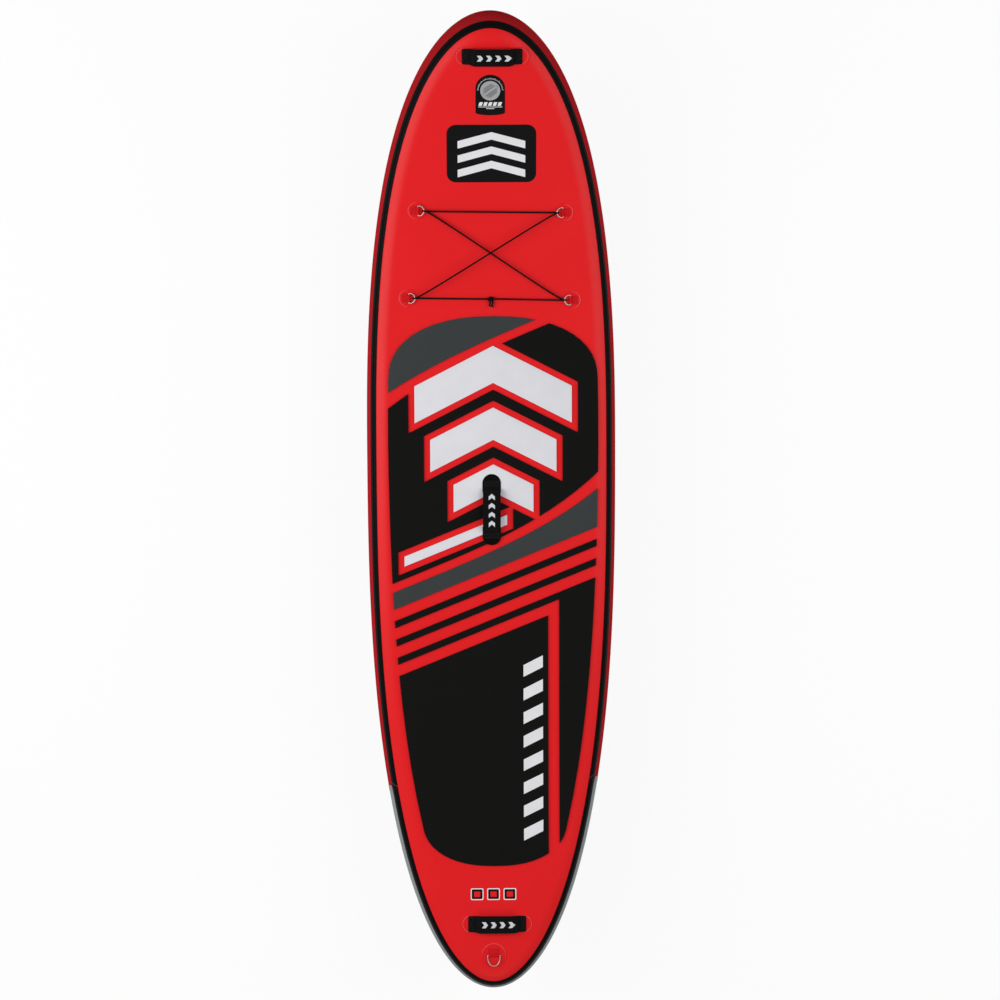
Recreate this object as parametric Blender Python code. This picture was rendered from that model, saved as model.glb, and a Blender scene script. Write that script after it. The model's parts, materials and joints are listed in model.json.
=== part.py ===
"""Inflatable stand-up paddle board with fins, handles, cargo cord and air valve.

Metres, +Z up, +Y towards the nose, +X to the rider's right. The origin is on the ground under
the middle of the board, level with the tip of the centre fin.

Fixed pieces are laid out on a flat board, at (x, s, h): x across, s along the bottom-to-top
middle line from the board's middle, h above that line. bend() then gives the curved board.
"""
import math

import bmesh
import bpy
from mathutils import Matrix, Vector

# Board
LENGTH = 3.20
WIDTH = 0.812
THICKNESS = 0.150
WIDEST_PLACE = 0.173
NOSE_POWER = 2.65
TAIL_POWER = 2.65
NOSE_BEND_LENGTH = 0.92
NOSE_BEND_RADIUS = 2.20
TAIL_BEND_RADIUS = 4.0
TAIL_KICK = math.radians(4.0)
TAIL_STRAIGHT = 0.52
SKIN = 0.0012
GAP = 0.0003
SEAM_GAP = 0.0006

# Seams and tapes
SEAM_ANGLE = math.radians(45.2)
TAPE_WIDTH = 0.0262
TAPE_THICKNESS = 0.0008
TAPE_LIFT = 0.0005
WALL_JOINT_FROM_TAIL = 0.697
LEFT_WALL_JOINT_BACK = 0.026

# Yarn that holds deck and bottom apart
YARN = 0.003
YARN_COLUMNS = 6
YARN_PITCH = 0.29
YARN_ROW_PITCH = 0.11

# Deck pads
PAD_THICKNESS = 0.005
PAD_MARGIN = 0.0647
PAD_TAPER = 0.016
PAD_OFFSET = 0.006
PAD_FRONT = 0.6308
PAD_REAR_FROM_TAIL = 0.418
PAD_FRONT_ROUND = 0.20
PAD_REAR_ROUND = 0.123
PAD_FRONT_POWER = 2.3
PAD_REAR_POWER = 2.4
SLANT = math.radians(22.1)
STRIPE = 0.0215
STRIPE_GAP = 0.0362
FIELD_GAP = 0.028
GREY_BAND = 0.0525
CRESCENT_PLACE = 0.5608
GREY_BAND_REAR = -0.1952
CRESCENT_FLARE = 0.041
FIELD_FRONT_FLARE = 0.062
GREY_FLARE = 0.069
FIELD_REAR_FLARE = 0.093
SIDE_GAP_PLACE = 0.1827
FLARE_POWER = 4

# White chevrons in the front pad
CHEVRON_TOPS = (0.535, 0.335, 0.150)
CHEVRON_WIDTH_SHARES = (0.628, 0.505, 0.320)
CHEVRON_DEPTHS = (0.120, 0.105, 0.090)
CHEVRON_RISE = math.radians(27.0)
CHEVRON_BORDER = 0.020
PIN_STRIPE = 0.030
PIN_STRIPE_FROM_EDGE = 0.038
PIN_STRIPE_LEFT_SHARE = -0.702
PIN_STRIPE_RIGHT_SHARE = 0.123

# Carry handles
HANDLE_LENGTH = 0.191
NOSE_HANDLE_OFFSET = 0.006
TAIL_HANDLE_OFFSET = 0.0115
NOSE_HANDLE_FROM_NOSE = 0.1225
TAIL_HANDLE_FROM_TAIL = 0.2255
CENTRE_HANDLE_PLACE = 0.0024
STRAP_WIDTH = 0.054
STRAP = 0.002
STRAP_TAB = 0.020
HANDLE_RISE = 0.016
HANDLE_SLOPE = 0.024
GRIP_INSET = 0.0095
GRIP_WALL = 0.0015
GRIP_PAD = 0.003
HANDLE_PATCH_LENGTH = 0.060
HANDLE_PATCH_EDGE = 0.003
HANDLE_PATCH_OVERHANG = 0.021
PATCH = 0.001

# D-rings and their patches
RING_WIRE = 0.0035
CARGO_RING_WIDTH = 0.035
CARGO_RING_DEPTH = 0.0235
LEASH_RING_WIDTH = 0.0445
LEASH_RING_DEPTH = 0.038
RING_CORNER = 0.0025
CARGO_RING_TILT = math.radians(15.0)
LEASH_RING_TILT = math.radians(2.0)
CARGO_RING_PATCH = 0.060
LEASH_RING_PATCH = 0.084
CARGO_PATCH_BACK = 0.0045
LOOP_WEB = 0.0016
LOOP_NEAR_FOOT = 0.0055
LOOP_FAR_FOOT = 0.022
CARGO_RING_INSET = 0.1285
REAR_RING_FROM_PAD = 0.0595
RING_ROW_DISTANCE = 0.283
FRONT_LEFT_RING_FORWARD = 0.008
REAR_RIGHT_RING_BACK = 0.008
REAR_RIGHT_RING_IN = 0.0065
LEASH_RING_FROM_TAIL = 0.1213

# Cargo cord
CORD = 0.0055
KNOT_LENGTH = 0.024
KNOT_WIDTH = 0.017
KNOT_HEIGHT = 0.0095
KNOT_SOCKET = 0.007
CORD_TAIL = 0.0225
CORD_TAIL_DISTANCE = 0.0062
CORD_TAIL_OFFSET = 0.004

# Air valve
VALVE_FROM_NOSE = 0.2368
LABEL_WIDTH = 0.0935
LABEL_LENGTH = 0.1365
LABEL_CENTRE_FROM_NOSE = 0.2530
LABEL = 0.0004
VALVE_HOLE = 0.044
VALVE_TUBE = 0.0025
VALVE_DEPTH = 0.034
VALVE_RIM = 0.058
VALVE_RIM_THICKNESS = 0.003
VALVE_BORE = 0.028
BASE_RIM_THICKNESS = 0.003
GASKET = 0.001
VALVE_SPREAD = 0.0006
VALVE_SEAT_DEPTH = 0.010
SPIDER = 0.003
STEM = 0.006
BUTTON = 0.012
BUTTON_HEIGHT = 0.004
DISC = 0.002
DIAPHRAGM = 0.0012
FLAP_OVERLAP = 0.0025
SPRING_WIRE = 0.0012
SPRING_ROOM = 0.0011
SPRING_TURNS = 5
CAP = 0.064
CAP_THICKNESS = 0.004
CAP_RIDGE = 0.004
CAP_RIDGE_WIDTH = 0.008
CAP_SKIRT = 0.005
CAP_TURN = math.radians(35.0)

# Fins
FIN_FROM_TAIL = 0.375
FIN_BOX_LENGTH = 0.250
FIN_BOX_WIDTH = 0.030
FIN_BOX_HEIGHT = 0.024
FIN_BOX_BASE_LENGTH = 0.310
FIN_BOX_BASE_WIDTH = 0.080
FIN_BOX_BASE = 0.002
SLOT_LENGTH = 0.226
SLOT_WIDTH = 0.0094
SLOT_DEPTH = 0.019
GROOVE_WIDTH = 0.0165
GROOVE_HEIGHT = 0.0062
GROOVE_DEPTH = 0.0075
FIN_TRAVEL = 0.030
FIN_TAB_DEPTH = 0.0180
FIN_DEPTH = 0.200
FIN_CHORD = 0.165
FIN_TIP_CHORD = 0.050
FIN_RAKE = 0.115
FIN_THICKNESS = 0.0080
FIN_EDGE = 0.0016
PIN = 0.0045
PIN_FROM_TAB_END = 0.010
SCREW = 0.004
SCREW_HEAD = 0.0075
SCREW_HEAD_HEIGHT = 0.0028
FIN_LUG_LENGTH = 0.021
FIN_LUG = 0.0036
PLATE_LENGTH = 0.013
SIDE_FIN_DEPTH = 0.110
SIDE_FIN_CHORD = 0.120
SIDE_FIN_TIP_CHORD = 0.030
SIDE_FIN_RAKE = 0.075
SIDE_FIN_THICKNESS = 0.006
SIDE_FIN_INSET = 0.135
SIDE_FIN_FORWARD = 0.060
SIDE_BASE_LENGTH = 0.150
SIDE_BASE_WIDTH = 0.036
SIDE_BASE = 0.003

# Mesh steps
END_STEPS = 24
TIP_PACKING = 0.28
WALL_STEPS = 6
SHOULDER_STEPS = 3
ROUND_STEPS = 32

RAIL = THICKNESS / 2
HALF_WIDTH = WIDTH / 2


def clear_scene():
    """Removes whatever the scene starts with."""
    for obj in list(bpy.data.objects):
        bpy.data.objects.remove(obj, do_unlink=True)


def new_collection(name):
    """A collection under the scene's own."""
    group = bpy.data.collections.new(name)
    bpy.context.scene.collection.children.link(group)
    return group


clear_scene()
PARTS = new_collection("paddle_board")
CUTTERS = new_collection("cutters")

RED = ((0.70, 0.012, 0.020), 0.45, 0.0)
DARK_RED = ((0.33, 0.010, 0.014), 0.45, 0.0)
GREY = ((0.23, 0.26, 0.27), 0.45, 0.0)
TAPE_BLACK = ((0.008, 0.008, 0.009), 0.25, 0.0)
PAD_BLACK = ((0.007, 0.007, 0.007), 0.80, 0.0)
PAD_GREY = ((0.047, 0.052, 0.053), 0.80, 0.0)
PAD_WHITE = ((0.76, 0.76, 0.80), 0.75, 0.0)
WEBBING = ((0.006, 0.006, 0.007), 0.85, 0.0)
STEEL = ((0.62, 0.61, 0.58), 0.20, 1.0)
SILVER_PLASTIC = ((0.40, 0.41, 0.42), 0.40, 0.0)
GREY_PLASTIC = ((0.12, 0.12, 0.13), 0.45, 0.0)
BLACK_PLASTIC = ((0.010, 0.010, 0.011), 0.40, 0.0)
RUBBER = ((0.012, 0.012, 0.012), 0.70, 0.0)
YARN_WHITE = ((0.70, 0.69, 0.65), 0.85, 0.0)
BRASS = ((0.70, 0.48, 0.18), 0.30, 1.0)


def finish_material(name, finish):
    """A Principled material of the part's own."""
    colour, roughness, metallic = finish
    material = bpy.data.materials.new(name)
    material.use_nodes = True
    shader = material.node_tree.nodes["Principled BSDF"]
    shader.inputs["Base Color"].default_value = (*colour, 1)
    shader.inputs["Roughness"].default_value = roughness
    shader.inputs["Metallic"].default_value = metallic
    return material


def add_part(name, bm, finish, place=None, smooth=True):
    """Turns a bmesh into a named part; place is its matrix in the world."""
    bmesh.ops.recalc_face_normals(bm, faces=bm.faces[:])
    mesh = bpy.data.meshes.new(name)
    bm.to_mesh(mesh)
    bm.free()
    if smooth:
        mesh.shade_smooth()
        mesh.set_sharp_from_angle(angle=math.radians(35))
    obj = bpy.data.objects.new(name, mesh)
    obj.data.materials.append(finish_material(name, finish))
    PARTS.objects.link(obj)
    if place is not None:
        obj.matrix_world = place
    return obj


# Outline and curve of the board

def nose_arc_angle():
    """Angle of the nose curve from its start to where the round rail begins."""
    return (NOSE_BEND_LENGTH - RAIL) / NOSE_BEND_RADIUS


NOSE_BEND = LENGTH / 2 - RAIL - NOSE_BEND_RADIUS * math.sin(nose_arc_angle())
TAIL_BEND = (
    -(LENGTH / 2 - RAIL)
    + TAIL_BEND_RADIUS * math.sin(TAIL_KICK)
    + (TAIL_STRAIGHT - RAIL) * math.cos(TAIL_KICK)
)
NOSE_TIP = NOSE_BEND + NOSE_BEND_LENGTH
TAIL_TIP = TAIL_BEND - TAIL_BEND_RADIUS * TAIL_KICK - TAIL_STRAIGHT


def outline_point(k):
    """Right half of the flat outline: k runs from -1 at the tail tip to 1 at the nose tip."""
    t = math.sin(abs(k) * math.pi / 2)
    power = NOSE_POWER if k > 0 else TAIL_POWER
    reach = NOSE_TIP - WIDEST_PLACE if k > 0 else TAIL_TIP - WIDEST_PLACE
    return HALF_WIDTH * math.sqrt(max(0.0, 1 - t**power)), WIDEST_PLACE + reach * t


def outward(k):
    """Unit normal of the outline, away from the board."""
    if abs(k) > 0.99999:
        return 0.0, math.copysign(1.0, k)
    step = 1e-5
    x0, s0 = outline_point(k - step)
    x1, s1 = outline_point(k + step)
    size = math.hypot(x1 - x0, s1 - s0)
    return (s1 - s0) / size, -(x1 - x0) / size


def rail_point(side, k, angle, radius):
    """A place on the round rail, angle above the middle line, radius from the rail's own axis."""
    x, s = outline_point(k)
    nx, ns = outward(k)
    reach = radius * math.cos(angle) - RAIL
    return side * (x + nx * reach), s + ns * reach, radius * math.sin(angle)


def outline_k(place, low=-1.0, high=1.0):
    """The k at which the outline is at this place along the board."""
    for _ in range(60):
        middle = (low + high) / 2
        if outline_point(middle)[1] < place:
            low = middle
        else:
            high = middle
    return low


def half_width(s):
    """Half the board's width at this place along it."""
    return outline_point(outline_k(s))[0]


RIGHT_JOINT_PLACE = TAIL_TIP + WALL_JOINT_FROM_TAIL
LEFT_JOINT_PLACE = RIGHT_JOINT_PLACE - LEFT_WALL_JOINT_BACK


def stations():
    """The k of each row of points along the board, closer together towards both tips."""
    even = [i / END_STEPS for i in range(-END_STEPS, END_STEPS + 1)]
    packed = [u * (1 + TIP_PACKING * (1 - u * u)) for u in even]
    joints = sorted({outline_k(LEFT_JOINT_PLACE), outline_k(RIGHT_JOINT_PLACE)})
    clear = [k for k in packed if all(abs(k - joint) > 0.4 / END_STEPS for joint in joints)]
    return sorted(clear + joints)


STATIONS = stations()


def middle_line(s):
    """The bent middle line: (y, z, pitch) at s, measured along it."""
    if s > NOSE_BEND:
        a = (s - NOSE_BEND) / NOSE_BEND_RADIUS
        return NOSE_BEND + NOSE_BEND_RADIUS * math.sin(a), NOSE_BEND_RADIUS * (1 - math.cos(a)), a
    if s < TAIL_BEND:
        b = min((TAIL_BEND - s) / TAIL_BEND_RADIUS, TAIL_KICK)
        rest = max(0.0, TAIL_BEND - TAIL_BEND_RADIUS * TAIL_KICK - s)
        y = TAIL_BEND - TAIL_BEND_RADIUS * math.sin(b) - rest * math.cos(b)
        return y, TAIL_BEND_RADIUS * (1 - math.cos(b)) + rest * math.sin(b), -b
    return s, 0.0, 0.0


def bend_lines():
    """Places along the board where the skins are creased, from tail to nose."""
    inner = [rail_point(1, k, math.pi / 2, RAIL)[1] for k in STATIONS]
    step = RAIL / 3
    before = [inner[0] - step * i for i in range(8, 0, -1)]
    after = [inner[-1] + step * i for i in range(1, 9)]
    return before + inner + after


BEND_LINES = bend_lines()


def lifted(s, h):
    """World (y, z) of a place h above the middle line, without the board's own height."""
    y, z, pitch = middle_line(s)
    return y - h * math.sin(pitch), z + h * math.cos(pitch)


def fin_outline(u, v, depth, chord, tip_chord, rake):
    """Side view of a swept fin, as (along, down): u from front edge to rear, v from root to tip."""
    front = chord / 2 - rake * v**1.6
    length = chord + (tip_chord - chord) * v**1.15
    round_tip = 0.10 * v * v * (2 * u - 1) ** 2
    return front - length * u, depth * (v - round_tip)


CENTRE_FIN = (FIN_DEPTH, FIN_CHORD, FIN_TIP_CHORD, FIN_RAKE)
SIDE_FIN = (SIDE_FIN_DEPTH, SIDE_FIN_CHORD, SIDE_FIN_TIP_CHORD, SIDE_FIN_RAKE)
FIN_PLACE = TAIL_TIP + FIN_FROM_TAIL
FIN_COLUMNS = 8
FIN_ROWS = 6
BOX_LOW = -GAP - FIN_BOX_BASE - FIN_BOX_HEIGHT
FIN_ROOT = BOX_LOW - GAP
TAB_FRONT = SLOT_LENGTH / 2 - FIN_TRAVEL - GAP
TAB_REAR = -TAB_FRONT
SCREW_PLACE = TAB_FRONT - FIN_LUG_LENGTH / 2
FIN_FORWARD = TAB_FRONT - FIN_LUG_LENGTH - FIN_CHORD / 2


def keel_height():
    """Height of the flat part's middle line with the centre fin's tip on the ground."""
    lows = []
    for i in range(FIN_COLUMNS + 1):
        along, down = fin_outline(i / FIN_COLUMNS, 1.0, *CENTRE_FIN)
        lows.append(lifted(FIN_PLACE + FIN_FORWARD + along, -RAIL + FIN_ROOT - down)[1])
    return -min(lows)


KEEL_HEIGHT = keel_height()


def bend(x, s, h):
    """World place of (x, s, h), straight between neighbouring bend lines."""
    spot = 0
    while spot < len(BEND_LINES) - 2 and BEND_LINES[spot + 1] < s:
        spot += 1
    s0, s1 = BEND_LINES[spot], BEND_LINES[spot + 1]
    share = (s - s0) / (s1 - s0)
    y0, z0 = lifted(s0, h)
    y1, z1 = lifted(s1, h)
    return Vector((x, y0 + (y1 - y0) * share, z0 + (z1 - z0) * share + KEEL_HEIGHT))


def surface_frame(x, s, h):
    """Matrix of a rigid piece on the board: X across, Y towards the nose, Z up through it."""
    step = 0.001
    along = (bend(x, s + step, h) - bend(x, s - step, h)).normalized()
    across = Vector((1, 0, 0))
    turn = Matrix((across, along, across.cross(along))).transposed()
    return Matrix.Translation(bend(x, s, h)) @ turn.to_4x4()


def deck_frame(x, s):
    """Frame on the deck's outer surface."""
    return surface_frame(x, s, RAIL)


def bottom_frame(x, s):
    """Frame on the bottom's outer surface."""
    return surface_frame(x, s, -RAIL)


# Modelling helpers

def wrapped_block(columns, rows, place, closed=False):
    """A flat block of quads, wrapped into shape: place(i, j, k) gives each corner, k 0 or 1.

    A closed block has its first and last columns joined instead of capped.
    """
    bm = bmesh.new()
    bmesh.ops.create_grid(bm, x_segments=columns, y_segments=rows, size=0.5)
    raised = bmesh.ops.extrude_face_region(bm, geom=bm.faces[:])["geom"]
    for vert in raised:
        if isinstance(vert, bmesh.types.BMVert):
            vert.co.z = 1.0
    if closed:
        ends = [f for f in bm.faces if all(abs(abs(v.co.x) - 0.5) < 1e-6 for v in f.verts)
                and abs(f.calc_center_median().x) > 0.49]
        bmesh.ops.delete(bm, geom=ends, context="FACES_ONLY")
    for vert in bm.verts:
        i = round((vert.co.x + 0.5) * columns)
        j = round((vert.co.y + 0.5) * rows)
        vert.co = place(i, j, round(vert.co.z))
    bmesh.ops.remove_doubles(bm, verts=bm.verts[:], dist=1e-6)
    return bm


def flat_outline(points, thickness, height, holes=()):
    """A plate with this outline, lying at this height, as a bmesh in flat coordinates."""
    curve = bpy.data.curves.new("outline", "CURVE")
    curve.dimensions = "2D"
    curve.fill_mode = "BOTH"
    curve.extrude = thickness / 2
    for ring in (points, *holes):
        spline = curve.splines.new("POLY")
        spline.points.add(len(ring) - 1)
        for point, (x, s) in zip(spline.points, ring):
            point.co = (x, s, 0, 1)
        spline.use_cyclic_u = True
    obj = bpy.data.objects.new("outline", curve)
    bpy.context.scene.collection.objects.link(obj)
    bpy.context.view_layer.update()
    mesh = bpy.data.meshes.new_from_object(obj.evaluated_get(bpy.context.evaluated_depsgraph_get()))
    bm = bmesh.new()
    bm.from_mesh(mesh)
    bpy.data.objects.remove(obj)
    bmesh.ops.remove_doubles(bm, verts=bm.verts[:], dist=1e-6)
    bmesh.ops.translate(bm, verts=bm.verts[:], vec=(0, 0, height + thickness / 2))
    return bm


def lay_on_board(bm):
    """Creases a flat bmesh along the bend lines and bends it with the board."""
    low = min(v.co.y for v in bm.verts)
    high = max(v.co.y for v in bm.verts)
    for before, line, after in zip(BEND_LINES, BEND_LINES[1:], BEND_LINES[2:]):
        turned = abs(middle_line(after)[2] - middle_line(before)[2]) > 1e-7
        if turned and low + 1e-4 < line < high - 1e-4:
            everything = bm.verts[:] + bm.edges[:] + bm.faces[:]
            bmesh.ops.bisect_plane(bm, geom=everything, plane_co=(0, line, 0), plane_no=(0, 1, 0), dist=1e-6)
    for vert in bm.verts:
        vert.co = bend(*vert.co)
    return bm


def tube(name, points, radius, finish, cyclic=False, sides=2, place=None):
    """A wire along points, as a curve with a bevel."""
    curve = bpy.data.curves.new(name, "CURVE")
    curve.dimensions = "3D"
    curve.bevel_depth = radius
    curve.bevel_resolution = sides
    curve.use_fill_caps = not cyclic
    spline = curve.splines.new("POLY")
    spline.points.add(len(points) - 1)
    for point, co in zip(spline.points, points):
        point.co = (*co, 1)
    spline.use_cyclic_u = cyclic
    obj = bpy.data.objects.new(name, curve)
    curve.materials.append(finish_material(name, finish))
    PARTS.objects.link(obj)
    if place is not None:
        obj.matrix_world = place
    return obj


def cylinder(radius, low, high, segments=ROUND_STEPS, bm=None):
    """An upright cylinder between two heights, added to bm."""
    bm = bm or bmesh.new()
    made = bmesh.ops.create_cone(
        bm, cap_ends=True, segments=segments, radius1=radius, radius2=radius, depth=high - low
    )
    bmesh.ops.translate(bm, verts=made["verts"], vec=(0, 0, (high + low) / 2))
    return bm


def box(size, centre, bm=None):
    """A box of this size about centre, added to bm."""
    bm = bm or bmesh.new()
    made = bmesh.ops.create_cube(bm, size=1.0)
    bmesh.ops.scale(bm, verts=made["verts"], vec=size)
    bmesh.ops.translate(bm, verts=made["verts"], vec=centre)
    return bm


def loose_object(bm, place=None):
    """A working object, joined or cut into a part and then removed."""
    bmesh.ops.recalc_face_normals(bm, faces=bm.faces[:])
    mesh = bpy.data.meshes.new("work")
    bm.to_mesh(mesh)
    bm.free()
    obj = bpy.data.objects.new("work", mesh)
    CUTTERS.objects.link(obj)
    obj.hide_render = True
    obj.display_type = "WIRE"
    if place is not None:
        obj.matrix_world = place
    return obj


def combine(bm, steps):
    """Applies (operation, other bmesh) steps in turn and returns the result as a bmesh."""
    base = loose_object(bm)
    others = []
    for operation, other in steps:
        tool = loose_object(other)
        others.append(tool)
        change = base.modifiers.new("cut", "BOOLEAN")
        change.operation = operation
        change.solver = "EXACT"
        change.object = tool
    bpy.context.view_layer.update()
    mesh = bpy.data.meshes.new_from_object(base.evaluated_get(bpy.context.evaluated_depsgraph_get()))
    result = bmesh.new()
    result.from_mesh(mesh)
    for obj in (base, *others):
        bpy.data.objects.remove(obj)
    return result


def turned(profile, segments=ROUND_STEPS):
    """A solid of revolution about Z from a closed (radius, height) profile, spun in full."""
    bm = bmesh.new()
    verts = [bm.verts.new((r, 0, z)) for r, z in profile]
    edges = [bm.edges.new((a, b)) for a, b in zip(verts, verts[1:] + verts[:1])]
    bmesh.ops.spin(
        bm, geom=verts + edges, axis=(0, 0, 1), cent=(0, 0, 0), angle=2 * math.pi, steps=segments,
        use_merge=True,
    )
    bmesh.ops.remove_doubles(bm, verts=bm.verts[:], dist=1e-6)
    return bm


# Hull

def nose_path(left, right):
    """(side, k) along the rail from one place on the left round the nose to one on the right."""
    up = [left] + [k for k in STATIONS if k > left]
    down = [k for k in reversed(STATIONS) if k > right] + [right]
    return [(-1, k) for k in up] + [(1, k) for k in down[1:]]


def tail_path(left, right):
    """(side, k) along the rail from one place on the left round the tail to one on the right."""
    down = [left] + [k for k in reversed(STATIONS) if k < left]
    up = [k for k in STATIONS if k < right] + [right]
    return [(-1, k) for k in down] + [(1, k) for k in up[1:]]


def angle_steps(low, high, steps):
    """Evenly spaced angles."""
    return [low + (high - low) * i / steps for i in range(steps + 1)]


def rail_strip(name, path, angles, outer, inner, finish, closed=False):
    """A strip of the rail between two angles, from the inner radius to the outer one."""
    def place(i, j, k):
        side, station = path[i]
        return bend(*rail_point(side, station, angles[j], inner if k else outer))
    return add_part(name, wrapped_block(len(path) - 1, len(angles) - 1, place, closed), finish)


def seam_share(angle_gap):
    """Angle on the rail that a length on its surface covers."""
    return angle_gap / RAIL


def hull_skin(name, up, finish):
    """Deck or bottom sheet: flat in the middle, round over both shoulders to the seam."""
    edge = SEAM_ANGLE + seam_share(SEAM_GAP / 2)
    climb = angle_steps(edge, math.pi / 2, SHOULDER_STEPS)
    row = [(-1, a) for a in climb] + [(1, a) for a in reversed(climb)]

    def place(i, j, k):
        side, angle = row[j]
        x, s, h = rail_point(side, STATIONS[i], angle, RAIL - SKIN if k else RAIL)
        return bend(x, s, h * up)

    return add_part(name, wrapped_block(len(STATIONS) - 1, len(row) - 1, place, True), finish)


def joint_ends(gap):
    """k of the side walls' joints on the left and right, moved towards the nose by a gap."""
    return outline_k(LEFT_JOINT_PLACE + gap), outline_k(RIGHT_JOINT_PLACE + gap)


def make_hull():
    """Deck, bottom, side walls and the tapes over their seams."""
    deck = hull_skin("deck_skin", 1, RED)
    hull_skin("bottom_skin", -1, GREY)
    front = nose_path(*joint_ends(SEAM_GAP / 2))
    rear = tail_path(*joint_ends(-SEAM_GAP / 2))
    edge = SEAM_ANGLE - seam_share(SEAM_GAP / 2)
    wall = angle_steps(edge, -edge, WALL_STEPS)
    rail_strip("side_wall_front", front, wall, RAIL, RAIL - SKIN, DARK_RED)
    rail_strip("side_wall_tail", rear, wall, RAIL, RAIL - SKIN, GREY)
    half_tape = seam_share(TAPE_WIDTH / 2)
    tape = angle_steps(SEAM_ANGLE + half_tape, SEAM_ANGLE - half_tape, 2)
    low_tape = [-a for a in reversed(tape)]
    lift = RAIL + TAPE_LIFT
    over = lift + TAPE_THICKNESS
    rail_strip("rail_tape_front", front, tape, over, lift, TAPE_BLACK)
    rail_strip("rail_tape_tail", rear, tape, over, lift, TAPE_BLACK)
    whole = nose_path(-1.0, -1.0)
    rail_strip("bottom_seam_tape", whole, low_tape, over, lift, TAPE_BLACK, closed=True)
    return deck


def make_yarn():
    """One unbroken yarn, up and down between the skins, for the thousands of the real cloth."""
    reach = RAIL - SKIN - GAP - YARN / 2
    rear, front = TAIL_TIP + YARN_PITCH, NOSE_TIP - VALVE_FROM_NOSE - VALVE_RIM
    rows = max(2, int((front - rear) / YARN_PITCH) + 1)
    points = []
    level = -1
    for row in range(rows):
        s = rear + (front - rear) * row / (rows - 1)
        width = max(YARN_ROW_PITCH / 2, half_width(s) - RAIL - YARN_ROW_PITCH / 2)
        columns = [(-1 + 2 * i / (YARN_COLUMNS - 1)) * width for i in range(YARN_COLUMNS)]
        if row % 2:
            columns.reverse()
        for x in columns:
            points.append(bend(x, s, reach * level))
            level = -level
            points.append(bend(x + YARN * 2 * (1 if row % 2 == 0 else -1), s, reach * level))
    tube("drop_stitch_yarn", points, YARN / 2, YARN_WHITE, sides=0)


# Pads

def pad_edge(s):
    """Half width of the whole pad at a place along it, before its rounded ends."""
    return half_width(s) - PAD_MARGIN - PAD_TAPER * max(0.0, WIDEST_PLACE - s)


PAD_REAR = TAIL_TIP + PAD_REAR_FROM_TAIL


def pad_half(s):
    """Half width of the whole pad with its rounded ends."""
    front_start, rear_start = PAD_FRONT - PAD_FRONT_ROUND, PAD_REAR + PAD_REAR_ROUND
    if s > front_start:
        share = min(1.0, (s - front_start) / PAD_FRONT_ROUND)
        return pad_edge(s) * (1 - share**PAD_FRONT_POWER) ** (1 / PAD_FRONT_POWER)
    if s < rear_start:
        share = min(1.0, (rear_start - s) / PAD_REAR_ROUND)
        return pad_edge(s) * (1 - share**PAD_REAR_POWER) ** (1 / PAD_REAR_POWER)
    return pad_edge(s)


def pad_outline():
    """Outline of the whole pad, anticlockwise from its rear point."""
    rear_start = PAD_REAR + PAD_REAR_ROUND
    front_start = PAD_FRONT - PAD_FRONT_ROUND
    turn = [math.sin(i * math.pi / 24) for i in range(1, 13)]
    places = [PAD_REAR + PAD_REAR_ROUND * (1 - t) for t in reversed(turn)]
    places += [rear_start + (front_start - rear_start) * i / 14 for i in range(15)]
    places += [front_start + PAD_FRONT_ROUND * t for t in turn]
    right = [(PAD_OFFSET + pad_half(s), s) for s in places if pad_half(s) > 1e-5]
    left = [(2 * PAD_OFFSET - x, s) for x, s in reversed(right)]
    return [(PAD_OFFSET, PAD_REAR)] + right + [(PAD_OFFSET, PAD_FRONT)] + left


def slanted(place, flare=0.0, up=True):
    """Points of a slanted line across the pad through place at the middle, bent at one end."""
    reach = pad_edge(WIDEST_PLACE)
    points = []
    for i in range(-2, 27):
        share = i / 24
        x = PAD_OFFSET + reach * (2 * share - 1)
        bent = flare * max(0.0, share) ** FLARE_POWER if up else -flare * max(0.0, 1 - share) ** FLARE_POWER
        points.append((x, place + math.tan(SLANT) * x + bent))
    return points


def between(lower, upper):
    """Closed outline between two slanted lines."""
    return lower + upper[::-1]


def pad_plate(outline, holes=()):
    """A plate of pad thickness on the deck, in flat coordinates."""
    return flat_outline(outline, PAD_THICKNESS, RAIL + GAP, holes)


def cutting_plate(outline):
    """A thicker plate for cutting pads."""
    return flat_outline(outline, PAD_THICKNESS * 3, RAIL + GAP - PAD_THICKNESS)


def add_pad(name, bm, finish):
    """Bends a finished pad onto the deck."""
    return add_part(name, lay_on_board(bm), finish, smooth=False)


def chevron(top, half, depth, border=0.0):
    """A chevron that points to the nose; border grows it on every side."""
    rise = math.tan(CHEVRON_RISE)
    grow = border / math.cos(CHEVRON_RISE)
    half = half + border
    upper = [(-half, top + grow - rise * half), (0, top + grow), (half, top + grow - rise * half)]
    low = top - depth - grow
    lower = [(half, low - rise * half), (0, low), (-half, low - rise * half)]
    return [(x + PAD_OFFSET, s) for x, s in reversed(upper + lower)]


def perpendicular(width):
    """Length along the board that a width across a slanted stripe takes."""
    return width / math.cos(SLANT)


def pin_stripe(edge, border=0.0):
    """The white bar along the rear edge of the front pad, whose middle is at edge."""
    low = edge + perpendicular(PIN_STRIPE_FROM_EDGE - border)
    high = edge + perpendicular(PIN_STRIPE_FROM_EDGE + PIN_STRIPE + border)
    left = HALF_WIDTH * PIN_STRIPE_LEFT_SHARE - border
    right = HALF_WIDTH * PIN_STRIPE_RIGHT_SHARE + border
    rise = math.tan(SLANT)
    return [(left, low + rise * left), (right, low + rise * right),
            (right, high + rise * right), (left, high + rise * left)]


def corner_outline(right, place):
    """Everything left of right and behind the slanted line through place at the middle."""
    far, rise = LENGTH, math.tan(SLANT)
    return [(-far, -far), (right, -far), (right, place + rise * right), (-far, place - rise * far)]


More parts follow.
